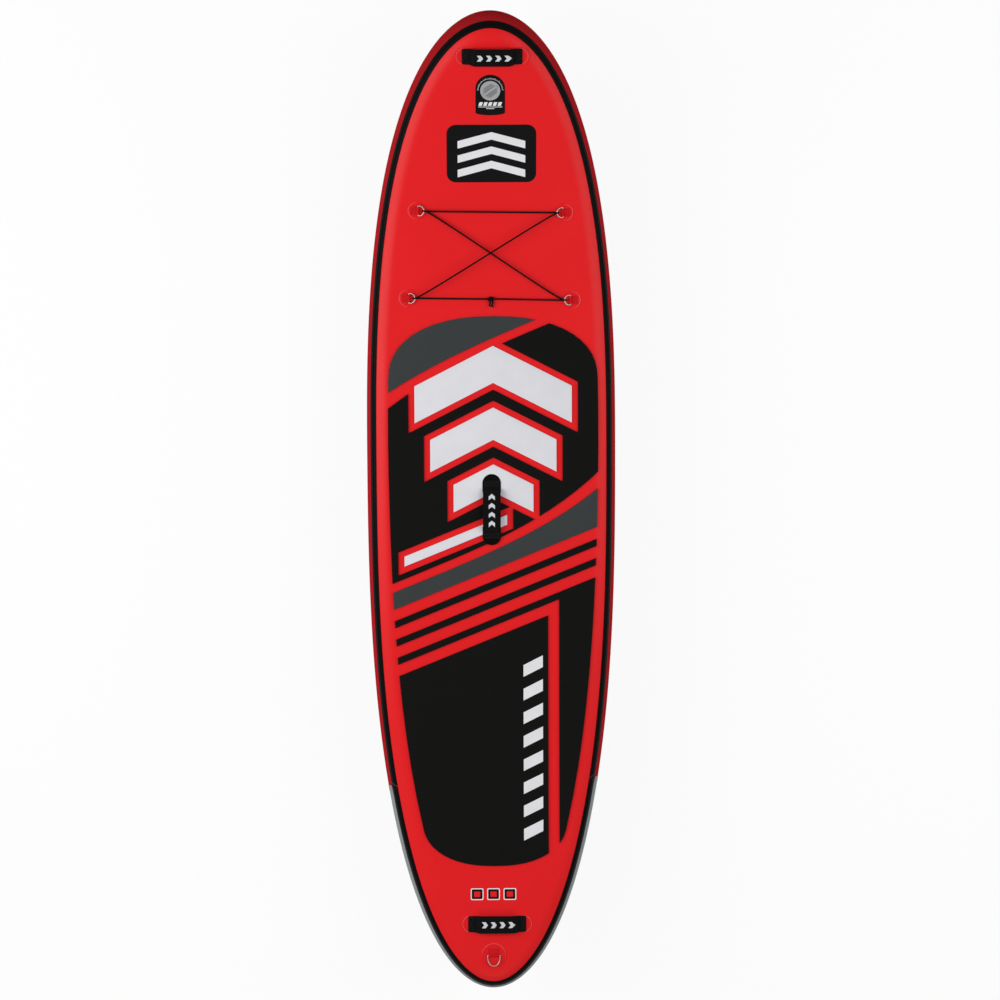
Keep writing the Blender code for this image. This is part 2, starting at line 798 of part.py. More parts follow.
def make_pads():
    """Deck pads: the whole outline cut into pieces along slanted lines, red deck between."""
    whole = pad_outline()
    far = LENGTH
    field_front = CRESCENT_PLACE - perpendicular(FIELD_GAP)
    grey_front = GREY_BAND_REAR + perpendicular(GREY_BAND)
    field_rear = grey_front + perpendicular(FIELD_GAP)
    above = slanted(far)

    crescent = between(slanted(CRESCENT_PLACE, CRESCENT_FLARE, False), above)
    add_pad("pad_front_grey", combine(pad_plate(whole), [("INTERSECT", cutting_plate(crescent))]), PAD_GREY)

    field = between(slanted(field_rear, FIELD_REAR_FLARE), slanted(field_front, FIELD_FRONT_FLARE, False))
    widths = [HALF_WIDTH * share for share in CHEVRON_WIDTH_SHARES]
    shapes = list(zip(CHEVRON_TOPS, widths, CHEVRON_DEPTHS))
    steps = [("INTERSECT", cutting_plate(field))]
    steps += [("DIFFERENCE", cutting_plate(chevron(*shape, CHEVRON_BORDER))) for shape in shapes]
    steps += [("DIFFERENCE", cutting_plate(pin_stripe(field_rear, CHEVRON_BORDER)))]
    add_pad("pad_front_black", combine(pad_plate(whole), steps), PAD_BLACK)
    for name, shape in zip(("large", "middle", "small"), shapes):
        add_pad(f"pad_chevron_{name}", pad_plate(chevron(*shape)), PAD_WHITE)
    add_pad("pad_white_bar", pad_plate(pin_stripe(field_rear)), PAD_WHITE)

    grey = between(slanted(GREY_BAND_REAR), slanted(grey_front, GREY_FLARE))
    add_pad("pad_grey_band", combine(pad_plate(whole), [("INTERSECT", cutting_plate(grey))]), PAD_GREY)

    front = GREY_BAND_REAR - perpendicular(STRIPE_GAP)
    for name in ("front", "rear"):
        rear = front - perpendicular(STRIPE)
        bar = between(slanted(rear), slanted(front))
        stripe = combine(pad_plate(whole), [("INTERSECT", cutting_plate(bar))])
        add_pad(f"pad_stripe_{name}", stripe, PAD_BLACK)
        front = rear - perpendicular(STRIPE_GAP)

    below = slanted(-far)
    corner = front - perpendicular(STRIPE)
    side = between(below, slanted(front))
    inside = corner_outline(SIDE_GAP_PLACE + STRIPE_GAP, corner)
    steps = [("INTERSECT", cutting_plate(side)), ("DIFFERENCE", cutting_plate(inside))]
    add_pad("pad_side", combine(pad_plate(whole), steps), PAD_BLACK)

    field = corner_outline(SIDE_GAP_PLACE, corner - perpendicular(STRIPE_GAP))
    add_pad("pad_rear", combine(pad_plate(whole), [("INTERSECT", cutting_plate(field))]), PAD_BLACK)


# Handles

def smooth_step(share):
    """0 to 1 with level ends."""
    share = min(1.0, max(0.0, share))
    return share * share * (3 - 2 * share)


STRAP_LIFT = GAP + PATCH + GAP
ARCH_START = HANDLE_LENGTH / 2 - STRAP_TAB
ARCH_TOP = ARCH_START - HANDLE_SLOPE
GRIP_END = ARCH_START - GRIP_INSET
GRIP_WIDTH = STRAP_WIDTH + 2 * (GAP + GRIP_WALL)


GRIP_SIDE, GRIP_ROUND = 0.92, 0.55
GRIP_SECTION = [
    (1, -GRIP_ROUND), (1, GRIP_ROUND), (GRIP_SIDE, 1), (-GRIP_SIDE, 1),
    (-1, GRIP_ROUND), (-1, -GRIP_ROUND), (-GRIP_SIDE, -1), (GRIP_SIDE, -1),
]
GRIP_HOLE = [(1, -1), (1, 1), (1, 1), (-1, 1), (-1, 1), (-1, -1), (-1, -1), (1, -1)]


def strap_height(u):
    """Height of the strap's underside over what its patches lie on, at u from its middle."""
    return STRAP_LIFT + HANDLE_RISE * smooth_step((ARCH_START - abs(u)) / HANDLE_SLOPE)


def strap_places():
    """Places along the strap, denser on its slopes and with the grip's ends among them."""
    slope = [ARCH_TOP + HANDLE_SLOPE * i / 6 for i in range(7)]
    apart = [u for u in slope if abs(u - GRIP_END) > HANDLE_SLOPE / 15]
    half = sorted([GRIP_END, *apart, HANDLE_LENGTH / 2])
    return [-u for u in reversed(half)] + half


def strap_normal(u):
    """Unit normal of the strap's curve."""
    step = 1e-4
    slope = (strap_height(u + step) - strap_height(u - step)) / (2 * step)
    size = math.hypot(1, slope)
    return -slope / size, 1 / size


def handle_spot(middle, lengthwise, u, v, h):
    """World place at u along the handle and v across it."""
    x, s = middle
    return bend(x + v, s + u, h) if lengthwise else bend(x + u, s + v, h)


def make_handle(name, middle, lengthwise, base, patch_finish):
    """A webbing strap on two patches that lie at base, with a padded grip to lift by."""
    places = strap_places()

    def strap_place(i, j, k):
        u = places[i]
        nu, nh = strap_normal(u)
        v = (j - 0.5) * STRAP_WIDTH
        h = base + strap_height(u) + nh * STRAP * k
        return handle_spot(middle, lengthwise, u + nu * STRAP * k, v, h)

    add_part(f"{name}_strap", wrapped_block(len(places) - 1, 1, strap_place), WEBBING)

    grip = [u for u in places if abs(u) <= GRIP_END + 1e-6]
    skin = [(v * GRIP_WIDTH / 2, n * (STRAP / 2 + GRIP_PAD)) for v, n in GRIP_SECTION]
    hole = [(v * (STRAP_WIDTH / 2 + GAP), n * (STRAP / 2 + GAP)) for v, n in GRIP_HOLE]

    def grip_place(i, j, k):
        u = grip[i]
        nu, nh = strap_normal(u)
        v, n = hole[j] if k else skin[j]
        n += STRAP / 2
        return handle_spot(middle, lengthwise, u + nu * n, v, base + strap_height(u) + nh * n)

    add_part(f"{name}_grip", grip_block(len(grip), len(GRIP_SECTION), grip_place), WEBBING)

    end = HANDLE_LENGTH / 2 + HANDLE_PATCH_OVERHANG
    labels = ("rear", "front") if lengthwise else ("left", "right")
    for side, label in zip((-1, 1), labels):
        outline = patch_outline(end - HANDLE_PATCH_LENGTH, end, side)
        if lengthwise:
            outline = [(v, u) for u, v in outline]
        shifted = [(x + middle[0], s + middle[1]) for x, s in outline]
        plate = flat_outline(shifted, PATCH, base + GAP)
        add_part(f"{name}_patch_{label}", lay_on_board(plate), patch_finish, smooth=False)


def grip_block(stations, corners, place):
    """A sleeve: an outer and an inner tube along the same stations, joined at both ends."""
    bm = bmesh.new()
    rings = []
    for k in (0, 1):
        for i in range(stations):
            rings.append([bm.verts.new(place(i, j, k)) for j in range(corners)])
    outer, inner = rings[:stations], rings[stations:]
    for tube_rings in (outer, inner):
        for a, b in zip(tube_rings, tube_rings[1:]):
            join_rings(bm, a, b)
    join_rings(bm, outer[0], inner[0])
    join_rings(bm, outer[-1], inner[-1])
    bmesh.ops.remove_doubles(bm, verts=bm.verts[:], dist=1e-6)
    return bm


def join_rings(bm, a, b):
    """A band of quads between two rings of as many points."""
    for i in range(len(a)):
        j = (i + 1) % len(a)
        bm.faces.new((a[i], a[j], b[j], b[i]))


def patch_outline(near, far, side):
    """A patch with a straight near end and a round far end, along u."""
    half = STRAP_WIDTH / 2 + HANDLE_PATCH_EDGE
    radius = min(half, (far - near) * 0.9)
    points = [(near, -half), (far - radius, -half)]
    points += [(far - radius + radius * math.sin(a), -half * math.cos(a))
               for a in angle_steps(0, math.pi, 16)[1:-1]]
    points += [(far - radius, half), (near, half)]
    return [(side * u, v) for u, v in points]


def make_handles():
    """Handles across the nose and tail, and one lengthwise at the point of balance."""
    pad_top = RAIL + GAP + PAD_THICKNESS
    make_handle("nose_handle", (NOSE_HANDLE_OFFSET, NOSE_TIP - NOSE_HANDLE_FROM_NOSE), False, RAIL, RED)
    make_handle("tail_handle", (TAIL_HANDLE_OFFSET, TAIL_TIP + TAIL_HANDLE_FROM_TAIL), False, RAIL, RED)
    make_handle("centre_handle", (0.0, CENTRE_HANDLE_PLACE), True, pad_top, TAPE_BLACK)


# D-rings

BAR_HEIGHT = GAP + PATCH + LOOP_WEB + RING_WIRE / 2 + GAP


def ring_points(width, depth):
    """Middle line of a D-shaped ring: the bar on Y through the origin, the bow towards +X."""
    half, reach = (width - RING_WIRE) / 2, depth - RING_WIRE
    bar = half - RING_CORNER
    corner = [(RING_CORNER * (1 - math.sin(a)), bar + RING_CORNER * math.cos(a))
              for a in angle_steps(math.pi / 2, 0, 3)]
    bow = [(RING_CORNER + (reach - RING_CORNER) * math.sin(a) ** 0.8, half * math.cos(a))
           for a in angle_steps(0, math.pi, 12)[1:-1]]
    lower = [(x, -y) for x, y in reversed(corner)]
    return [(x, y, 0) for x, y in corner + bow + lower]


def turned_frame(x, s, heading):
    """Frame at a ring's bar: X the way the bow points when it lies flat, Z out of the deck."""
    return deck_frame(x, s) @ Matrix.Rotation(heading, 4, "Z") @ Matrix.Translation((0, 0, BAR_HEIGHT))


def make_ring(name, x, s, heading, tilt, width, depth, patch, back=0.0):
    """A steel ring, and its round patch with the webbing loop that holds the ring's bar."""
    frame = turned_frame(x, s, heading)
    tube(f"{name}_ring", ring_points(width, depth), RING_WIRE / 2, STEEL, cyclic=True, sides=1,
         place=frame @ Matrix.Rotation(-tilt, 4, "Y"))
    x0, s0 = x - back * math.cos(heading), s - back * math.sin(heading)
    disc = [(x0 + patch / 2 * math.cos(a), s0 + patch / 2 * math.sin(a))
            for a in angle_steps(0, 2 * math.pi, 28)[:-1]]
    plate = lay_on_board(flat_outline(disc, PATCH, RAIL + GAP))
    web = loop_web(width - RING_WIRE - 2 * RING_CORNER - 2 * GAP)
    bmesh.ops.transform(web, matrix=frame, verts=web.verts[:])
    add_part(f"{name}_patch", combine(plate, [("UNION", web)]), RED)
    return frame @ Matrix.Rotation(-tilt, 4, "Y")


def loop_web(width):
    """A webbing loop folded over the bar: a short foot under the bow and a long one behind."""
    bore = RING_WIRE / 2 + GAP
    outer = bore + LOOP_WEB
    low = -bore - LOOP_WEB - PATCH / 2
    fillet = outer + LOOP_WEB / 2
    near, far = (
        [(reach, low), (reach, -bore), (fillet, -bore), (outer, -bore / 2)]
        for reach in (LOOP_NEAR_FOOT, LOOP_FAR_FOOT)
    )
    points = list(near)
    points += [(outer * math.cos(a), outer * math.sin(a)) for a in angle_steps(0, math.pi, 8)]
    points += [(-u, h) for u, h in reversed(far)]
    hole = [(bore * math.cos(a), bore * math.sin(a)) for a in angle_steps(0, 2 * math.pi, 14)[:-1]]
    bm = flat_outline(points, width, -width / 2, [hole])
    bmesh.ops.rotate(bm, verts=bm.verts[:], cent=(0, 0, 0), matrix=Matrix.Rotation(math.pi / 2, 3, "X"))
    return bm


REAR_RING_PLACE = PAD_FRONT + REAR_RING_FROM_PAD
FRONT_RING_PLACE = REAR_RING_PLACE + RING_ROW_DISTANCE
RING_SHIFTS = {
    ("front", "left"): (0.0, FRONT_LEFT_RING_FORWARD),
    ("front", "right"): (0.0, 0.0),
    ("rear", "left"): (0.0, 0.0),
    ("rear", "right"): (-REAR_RIGHT_RING_IN, -REAR_RIGHT_RING_BACK),
}


def make_rings():
    """Four rings for the cargo cord and the leash ring at the tail; returns the cargo ones."""
    frames = {}
    for row, s in (("front", FRONT_RING_PLACE), ("rear", REAR_RING_PLACE)):
        x = half_width(s) - CARGO_RING_INSET
        for side, label, heading in ((-1, "left", 0.0), (1, "right", math.pi)):
            across, along = RING_SHIFTS[row, label]
            frames[row, label] = make_ring(
                f"cargo_{row}_{label}", side * x + across, s + along, heading, CARGO_RING_TILT,
                CARGO_RING_WIDTH, CARGO_RING_DEPTH, CARGO_RING_PATCH, CARGO_PATCH_BACK,
            )
    make_ring("leash", 0.0, TAIL_TIP + LEASH_RING_FROM_TAIL, -math.pi / 2, LEASH_RING_TILT,
              LEASH_RING_WIDTH, LEASH_RING_DEPTH, LEASH_RING_PATCH)
    return frames


# Cargo cord

def cord_turn(frame, over_first):
    """The cord's half turn round a ring's bow, from under it to over it or the other way."""
    reach = RING_WIRE / 2 + CORD / 2 + 2 * GAP
    tip = CARGO_RING_DEPTH - RING_WIRE
    down = [frame @ Vector((tip - reach * math.sin(a), 0, -reach * math.cos(a)))
            for a in angle_steps(0, math.pi, 7)]
    return down[::-1] if over_first else down


def cord_leg(start, leaving, end, arriving):
    """Points of a taut stretch that leaves and arrives in the given directions, ends left out."""
    pull = CORD * 12
    points = []
    for t in (0.02, 0.06, 0.14, 0.34, 0.66, 0.86, 0.94, 0.98):
        along = 3 * t * t - 2 * t**3
        rise = t * (1 - t) ** 2
        fall = t * t * (t - 1)
        points.append(start.lerp(end, along) + leaving * pull * rise + arriving * pull * fall)
    return points


def direction(a, b):
    """Unit vector from a to b."""
    return (b - a).normalized()


def make_cord(frames):
    """One shock cord through the four rings, crossed over the deck and tied at the rear."""
    knot = bend(0.0, REAR_RING_PLACE - REAR_RIGHT_RING_BACK / 2, RAIL + KNOT_HEIGHT)
    turns = [
        cord_turn(frames["rear", "left"], False),
        cord_turn(frames["front", "right"], True),
        cord_turn(frames["front", "left"], True),
        cord_turn(frames["rear", "right"], False),
    ]
    out = Vector((KNOT_LENGTH / 2 - KNOT_SOCKET + GAP, 0, 0))
    stub = Vector((KNOT_SOCKET + CORD / 2, 0, 0))
    stretches = [[knot - out, knot - out - stub], *turns, [knot + out + stub, knot + out]]
    points = list(stretches[0])
    for before, after in zip(stretches, stretches[1:]):
        leaving = direction(before[-2], before[-1])
        arriving = direction(after[0], after[1])
        points += cord_leg(before[-1], leaving, after[0], arriving) + after
    tube("cargo_cord", points, CORD / 2, WEBBING, sides=2)
    make_knot(knot)


def make_knot(middle):
    """The knot, with a socket for the cord on each side and the cord's two short ends."""
    bm = bmesh.new()
    bmesh.ops.create_uvsphere(bm, u_segments=16, v_segments=8, radius=1.0)
    bmesh.ops.rotate(bm, verts=bm.verts[:], cent=(0, 0, 0), matrix=Matrix.Rotation(math.pi / 2, 3, "Y"))
    bmesh.ops.scale(bm, verts=bm.verts[:], vec=(KNOT_LENGTH / 2, KNOT_WIDTH / 2, KNOT_WIDTH / 2))
    steps = []
    for side, turn in ((-1, -0.22), (1, -0.14)):
        end = cylinder(CORD / 2, 0, CORD_TAIL + KNOT_WIDTH / 2, 10)
        tip = Matrix.Rotation(math.pi / 2 + 0.12, 4, "X")
        beside = Matrix.Translation((CORD_TAIL_OFFSET + side * CORD_TAIL_DISTANCE / 2, 0, 0))
        lean = beside @ Matrix.Rotation(turn, 4, "Z") @ tip
        bmesh.ops.transform(end, matrix=lean, verts=end.verts[:])
        steps.append(("UNION", end))
    for side in (-1, 1):
        socket = cylinder(CORD / 2 + GAP, KNOT_LENGTH / 2 - KNOT_SOCKET, KNOT_LENGTH, 12)
        turn = Matrix.Rotation(side * math.pi / 2, 3, "Y")
        bmesh.ops.rotate(socket, verts=socket.verts[:], cent=(0, 0, 0), matrix=turn)
        steps.append(("DIFFERENCE", socket))
    add_part("cargo_cord_knot", combine(bm, steps), WEBBING, place=Matrix.Translation(middle))


# Air valve

def label_outline():
    """The badge round the valve: an arched front end and a slightly round rear one."""
    middle = NOSE_TIP - LABEL_CENTRE_FROM_NOSE
    half, reach = LABEL_WIDTH / 2, LABEL_LENGTH / 2
    points = [(half * math.cos(a), middle + reach - half + half * math.sin(a))
              for a in angle_steps(0, math.pi, 24)]
    sag = half * 0.2
    points += [(half * math.cos(a), middle - reach + sag + sag * math.sin(a))
               for a in angle_steps(math.pi, 2 * math.pi, 12)]
    return points


RIM_LOW = GAP + LABEL + VALVE_SPREAD
RIM_TOP = RIM_LOW + VALVE_RIM_THICKNESS
TUBE_OUTER = VALVE_HOLE / 2 - GAP
TUBE_INNER = TUBE_OUTER - VALVE_TUBE
GASKET_TOP = -SKIN - GAP
BASE_TOP = GASKET_TOP - GASKET - GAP
SEAT = -VALVE_SEAT_DEPTH
DIAPHRAGM_TOP = SEAT - GAP
DISC_TOP = DIAPHRAGM_TOP - DIAPHRAGM - GAP
SPIDER_TOP = -VALVE_DEPTH + SPIDER
BUTTON_TOP = RIM_TOP - CAP_SKIRT - GAP


def make_valve(deck):
    """Push valve under a turning cap; its hole goes through the badge and the deck."""
    frame = deck_frame(0.0, NOSE_TIP - VALVE_FROM_NOSE)
    cutter = loose_object(cylinder(VALVE_HOLE / 2, -THICKNESS / 4, THICKNESS / 4), frame)
    cutter.name = "valve_hole_cutter"
    badge = add_part("valve_badge", lay_on_board(flat_outline(label_outline(), LABEL, RAIL + GAP)),
                     PAD_BLACK, smooth=False)
    for obj in (deck, badge):
        change = obj.modifiers.new("valve hole", "BOOLEAN")
        change.operation = "DIFFERENCE"
        change.solver = "EXACT"
        change.object = cutter
    make_valve_base(frame)
    make_valve_inside(frame)
    make_spring(frame, SPIDER_TOP + GAP, DISC_TOP - DISC - GAP)
    make_cap(frame)


def make_valve_base(frame):
    """The threaded base under the deck with its spider, the gasket, and the body above it."""
    rim = VALVE_RIM / 2
    floor = -VALVE_DEPTH
    low = BASE_TOP - BASE_RIM_THICKNESS
    inner = TUBE_OUTER + GAP
    under = GASKET_TOP - GASKET
    gasket = [(inner, GASKET_TOP), (inner, under), (rim, under), (rim, GASKET_TOP)]
    add_part("valve_gasket", turned(gasket), RUBBER, frame)
    shell = turned([
        (TUBE_INNER, -GAP), (TUBE_INNER, floor), (TUBE_OUTER, floor), (TUBE_OUTER, low),
        (rim, low), (rim, BASE_TOP), (TUBE_OUTER, BASE_TOP), (TUBE_OUTER, -GAP),
    ])
    guide = STEM / 2 + GAP
    steps = [("UNION", cylinder(guide + SPIDER, floor, SPIDER_TOP, 20))]
    reach = TUBE_INNER + VALVE_TUBE / 2
    for turn in range(3):
        arm = box((reach, SPIDER, SPIDER), (reach / 2, 0, floor + SPIDER / 2))
        around = Matrix.Rotation(turn * 2 * math.pi / 3, 3, "Z")
        bmesh.ops.rotate(arm, verts=arm.verts[:], cent=(0, 0, 0), matrix=around)
        steps.append(("UNION", arm))
    steps.append(("DIFFERENCE", cylinder(guide, floor - SPIDER, SPIDER_TOP + SPIDER, 20)))
    add_part("valve_base", combine(shell, steps), GREY_PLASTIC, frame)
    bore = VALVE_BORE / 2
    body = [
        (bore, RIM_TOP), (bore, SEAT), (TUBE_INNER - GAP, SEAT), (TUBE_INNER - GAP, RIM_LOW),
        (rim, RIM_LOW), (rim, RIM_TOP),
    ]
    add_part("valve_body", turned(body), SILVER_PLASTIC, frame)


def make_valve_inside(frame):
    """The sprung plunger and the rubber diaphragm that it carries."""
    stem = STEM / 2
    flap = VALVE_BORE / 2 + FLAP_OVERLAP
    diaphragm = [
        (stem + GAP, DIAPHRAGM_TOP), (stem + GAP, DIAPHRAGM_TOP - DIAPHRAGM),
        (flap, DIAPHRAGM_TOP - DIAPHRAGM), (flap, DIAPHRAGM_TOP),
    ]
    add_part("valve_diaphragm", turned(diaphragm), RUBBER, frame)
    disc = flap - GAP
    foot = -VALVE_DEPTH - SPIDER
    button = BUTTON / 2
    edge = BUTTON_HEIGHT / 3
    top = BUTTON_TOP
    plunger = [
        (0.0, top), (button - edge, top), (button, top - edge), (button, top - 2 * edge),
        (stem, top - BUTTON_HEIGHT), (stem, DISC_TOP), (disc, DISC_TOP), (disc, DISC_TOP - DISC),
        (stem, DISC_TOP - DISC), (stem, foot), (0.0, foot),
    ]
    add_part("valve_plunger", turned_core(plunger, ROUND_STEPS // 2), GREY_PLASTIC, frame)


def turned_core(profile, segments=ROUND_STEPS):
    """A solid of revolution whose profile starts and ends on the axis."""
    bm = bmesh.new()
    verts = [bm.verts.new((r, 0, z)) for r, z in profile]
    edges = [bm.edges.new((a, b)) for a, b in zip(verts, verts[1:])]
    bmesh.ops.spin(bm, geom=verts + edges, axis=(0, 0, 1), cent=(0, 0, 0), angle=2 * math.pi,
                   steps=segments, use_merge=True)
    bmesh.ops.remove_doubles(bm, verts=bm.verts[:], dist=1e-6)
    return bm


def make_spring(frame, low, high):
    """The spring that shuts the valve, coiled round the stem."""
    wire = SPRING_WIRE / 2
    radius = STEM / 2 + SPRING_ROOM + wire
    steps = SPRING_TURNS * 9
    points = []
    for i in range(steps + 1):
        a = 2 * math.pi * i / 9
        z = low + wire + (high - low - 2 * wire) * i / steps
        points.append((radius * math.cos(a), radius * math.sin(a), z))
    tube("valve_spring", points, wire, STEEL, sides=1, place=frame)


def make_cap(frame):
    """The cap: a turning disc with a grip ridge and a skirt inside the valve's bore."""
    low = RIM_TOP + GAP
    top = low + CAP_THICKNESS
    outer = CAP / 2
    edge = CAP_THICKNESS / 2
    skirt = VALVE_BORE / 2 - GAP
    wall = CAP_THICKNESS / 2
    cap = turned_core([
        (0.0, top), (outer - edge, top), (outer, top - edge), (outer, low), (skirt, low),
        (skirt, low - CAP_SKIRT), (skirt - wall, low - CAP_SKIRT), (skirt - wall, low + wall / 2),
        (0.0, low + wall / 2),
    ])
    sunk = edge / 2
    ridge = box((CAP * 0.84, CAP_RIDGE_WIDTH, CAP_RIDGE + sunk), (0, 0, top + (CAP_RIDGE - sunk) / 2))
    long_edges = [e for e in ridge.edges if e.calc_length() > CAP / 2 and e.verts[0].co.z > top]
    bmesh.ops.bevel(
        ridge, geom=long_edges, offset=CAP_RIDGE_WIDTH / 4, segments=3, affect="EDGES", profile=0.5
    )
    slant = Matrix.Rotation(CAP_TURN, 3, "Z")
    bmesh.ops.rotate(ridge, verts=ridge.verts[:], cent=(0, 0, 0), matrix=slant)
    add_part("valve_cap", combine(cap, [("UNION", ridge)]), SILVER_PLASTIC, frame)


# Fins

def foil(u):
    """Half thickness of a fin section, as a share, at u from its front edge to its rear one."""
    return math.sqrt(math.sin(math.pi * (0.08 + 0.84 * u**0.8)))


def fin_blade(fin, thickness, root, forward=0.0):
    """A swept blade that hangs from root: thick in the middle, thin at its edges and tip."""
    def place(i, j, k):
        u, v = i / FIN_COLUMNS, j / FIN_ROWS
        along, down = fin_outline(u, v, *fin)
        inside = 0 < i < FIN_COLUMNS
        half = max(FIN_EDGE, thickness * foil(u) * (1 - 0.55 * v)) / 2 if inside else FIN_EDGE / 2
        return Vector((half if k else -half, forward + along, root - down))

    return wrapped_block(FIN_COLUMNS, FIN_ROWS, place)


GROOVE_MIDDLE = BOX_LOW + GROOVE_DEPTH + GROOVE_HEIGHT / 2
PLATE_LOW = BOX_LOW + GROOVE_DEPTH + GAP
PLATE_HEIGHT = GROOVE_HEIGHT - 3 * GAP
LUG_TOP = BOX_LOW + GROOVE_DEPTH - GAP
LUG_LOW = LUG_TOP - FIN_LUG
PIN_PLACE = TAB_REAR + PIN_FROM_TAB_END


def make_fins():
    """The centre fin in its slotted box, its fixings, and two side fins on their bases."""
    frame = bottom_frame(0.0, FIN_PLACE)
    make_fin_box(frame)
    make_centre_fin(frame)
    make_fin_fixings(frame)
    make_side_fins()


def make_fin_box(frame):
    """A base plate with a raised rail whose slot has a groove down each side."""
    plate = rounded_plate(FIN_BOX_BASE_WIDTH, FIN_BOX_BASE_LENGTH, FIN_BOX_BASE, -GAP - FIN_BOX_BASE)
    rail = rounded_plate(FIN_BOX_WIDTH, FIN_BOX_LENGTH, FIN_BOX_HEIGHT + FIN_BOX_BASE / 2, BOX_LOW)
    slot = box((SLOT_WIDTH, SLOT_LENGTH, SLOT_DEPTH * 2), (0, 0, BOX_LOW))
    groove = box((GROOVE_WIDTH, SLOT_LENGTH, GROOVE_HEIGHT), (0, 0, GROOVE_MIDDLE))
    steps = [("UNION", rail), ("DIFFERENCE", slot), ("DIFFERENCE", groove)]
    add_part("fin_box", combine(plate, steps), BLACK_PLASTIC, frame)


def make_centre_fin(frame):
    """Blade, slot tab and the lug in front of it that the screw clamps."""
    blade = fin_blade(CENTRE_FIN, FIN_THICKNESS, FIN_ROOT, FIN_FORWARD)
    width = SLOT_WIDTH - 4 * GAP
    sunk = FIN_THICKNESS / 2
    tab_end = TAB_FRONT - FIN_LUG_LENGTH
    tab = box((width, tab_end - TAB_REAR, FIN_TAB_DEPTH + sunk),
              (0, (tab_end + TAB_REAR) / 2, FIN_ROOT + (FIN_TAB_DEPTH - sunk) / 2))
    lug_size = (width, FIN_LUG_LENGTH + sunk, FIN_LUG)
    lug = box(lug_size, (0, TAB_FRONT - lug_size[1] / 2, LUG_LOW + FIN_LUG / 2))
    hole = cylinder(SCREW / 2 + GAP, LUG_LOW - FIN_LUG, LUG_TOP + FIN_LUG, 16)
    bmesh.ops.translate(hole, verts=hole.verts[:], vec=(0, SCREW_PLACE, 0))
    pin_hole = cross_cylinder(PIN / 2 + GAP, FIN_BOX_WIDTH, PIN_PLACE, GROOVE_MIDDLE)
    steps = [("UNION", tab), ("UNION", lug), ("DIFFERENCE", hole), ("DIFFERENCE", pin_hole)]
    add_part("centre_fin", combine(blade, steps), BLACK_PLASTIC, frame)


def make_fin_fixings(frame):
    """The pin at the tab's rear, and the screw and nut plate at its front."""
    across = GROOVE_WIDTH - 4 * GAP
    add_part("fin_pin", cross_cylinder(PIN / 2, across, PIN_PLACE, GROOVE_MIDDLE), BRASS, frame)
    nut = box((across, PLATE_LENGTH, PLATE_HEIGHT), (0, SCREW_PLACE, PLATE_LOW + PLATE_HEIGHT / 2))
    hole = cylinder(SCREW / 2 + GAP, PLATE_LOW - PLATE_HEIGHT, PLATE_LOW + 2 * PLATE_HEIGHT, 16)
    bmesh.ops.translate(hole, verts=hole.verts[:], vec=(0, SCREW_PLACE, 0))
    add_part("fin_nut_plate", combine(nut, [("DIFFERENCE", hole)]), STEEL, frame, smooth=False)
    head_top = LUG_LOW - GAP
    head_low = head_top - SCREW_HEAD_HEIGHT
    end = PLATE_LOW + PLATE_HEIGHT + GAP
    screw = turned_core([
        (0.0, end), (SCREW / 2, end), (SCREW / 2, head_top), (SCREW_HEAD / 2, head_top),
        (SCREW_HEAD / 2, head_low), (0.0, head_low),
    ], ROUND_STEPS // 2)
    drive = box((SCREW_HEAD / 6, SCREW_HEAD * 1.2, SCREW_HEAD_HEIGHT), (0, 0, head_low))
    place = frame @ Matrix.Translation((0, SCREW_PLACE, 0))
    add_part("fin_screw", combine(screw, [("DIFFERENCE", drive)]), STEEL, place)


def make_side_fins():
    """A small fin on a glued base on each side, ahead of the centre fin."""
    place = FIN_PLACE + SIDE_FIN_FORWARD
    reach = half_width(place) - SIDE_FIN_INSET
    for side, label in ((-1, "left"), (1, "right")):
        spot = bottom_frame(side * reach, place)
        foot = rounded_plate(SIDE_BASE_WIDTH, SIDE_BASE_LENGTH, SIDE_BASE, -GAP - SIDE_BASE)
        add_part(f"side_fin_base_{label}", foot, BLACK_PLASTIC, spot)
        blade = fin_blade(SIDE_FIN, SIDE_FIN_THICKNESS, -2 * GAP - SIDE_BASE)
        add_part(f"side_fin_{label}", blade, BLACK_PLASTIC, spot)


def cross_cylinder(radius, length, y, z):
    """A cylinder across the board."""
    bm = cylinder(radius, -length / 2, length / 2, 16)
    bmesh.ops.rotate(bm, verts=bm.verts[:], cent=(0, 0, 0), matrix=Matrix.Rotation(math.pi / 2, 3, "Y"))
    bmesh.ops.translate(bm, verts=bm.verts[:], vec=(0, y, z))
    return bm


def rounded_plate(width, length, thickness, low):
    """A plate with round corners, lying from low up by its thickness."""
    radius = min(width, length) * 0.45
    corners = [(1, -1, -90), (1, 1, 0), (-1, 1, 90), (-1, -1, 180)]
    points = []
    for sx, sy, start in corners:
        for a in angle_steps(math.radians(start), math.radians(start + 90), 5):
            points.append((sx * (width / 2 - radius) + radius * math.cos(a),
                           sy * (length / 2 - radius) + radius * math.sin(a)))
    return flat_outline(points, thickness, low)


def main():
    """Builds the whole board."""
    deck = make_hull()
    make_yarn()
    make_pads()
    make_handles()
    make_cord(make_rings())
    make_valve(deck)
    make_fins()


main()
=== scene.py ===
"""Looks of the inflatable paddle board: fine surfaces, printed shapes, materials, light and camera.

Metres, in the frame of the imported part: +Y towards the nose, +Z up. Pieces that lie on the board
are laid out flat, at (x, s, h): x across, s along the middle line, h above it. bent() curves them.
"""
import json
from math import ceil, copysign, cos, exp, floor, hypot, pi, radians, sin, sqrt

import bmesh
import bpy
from mathutils import Matrix, Vector
from mathutils.bvhtree import BVHTree


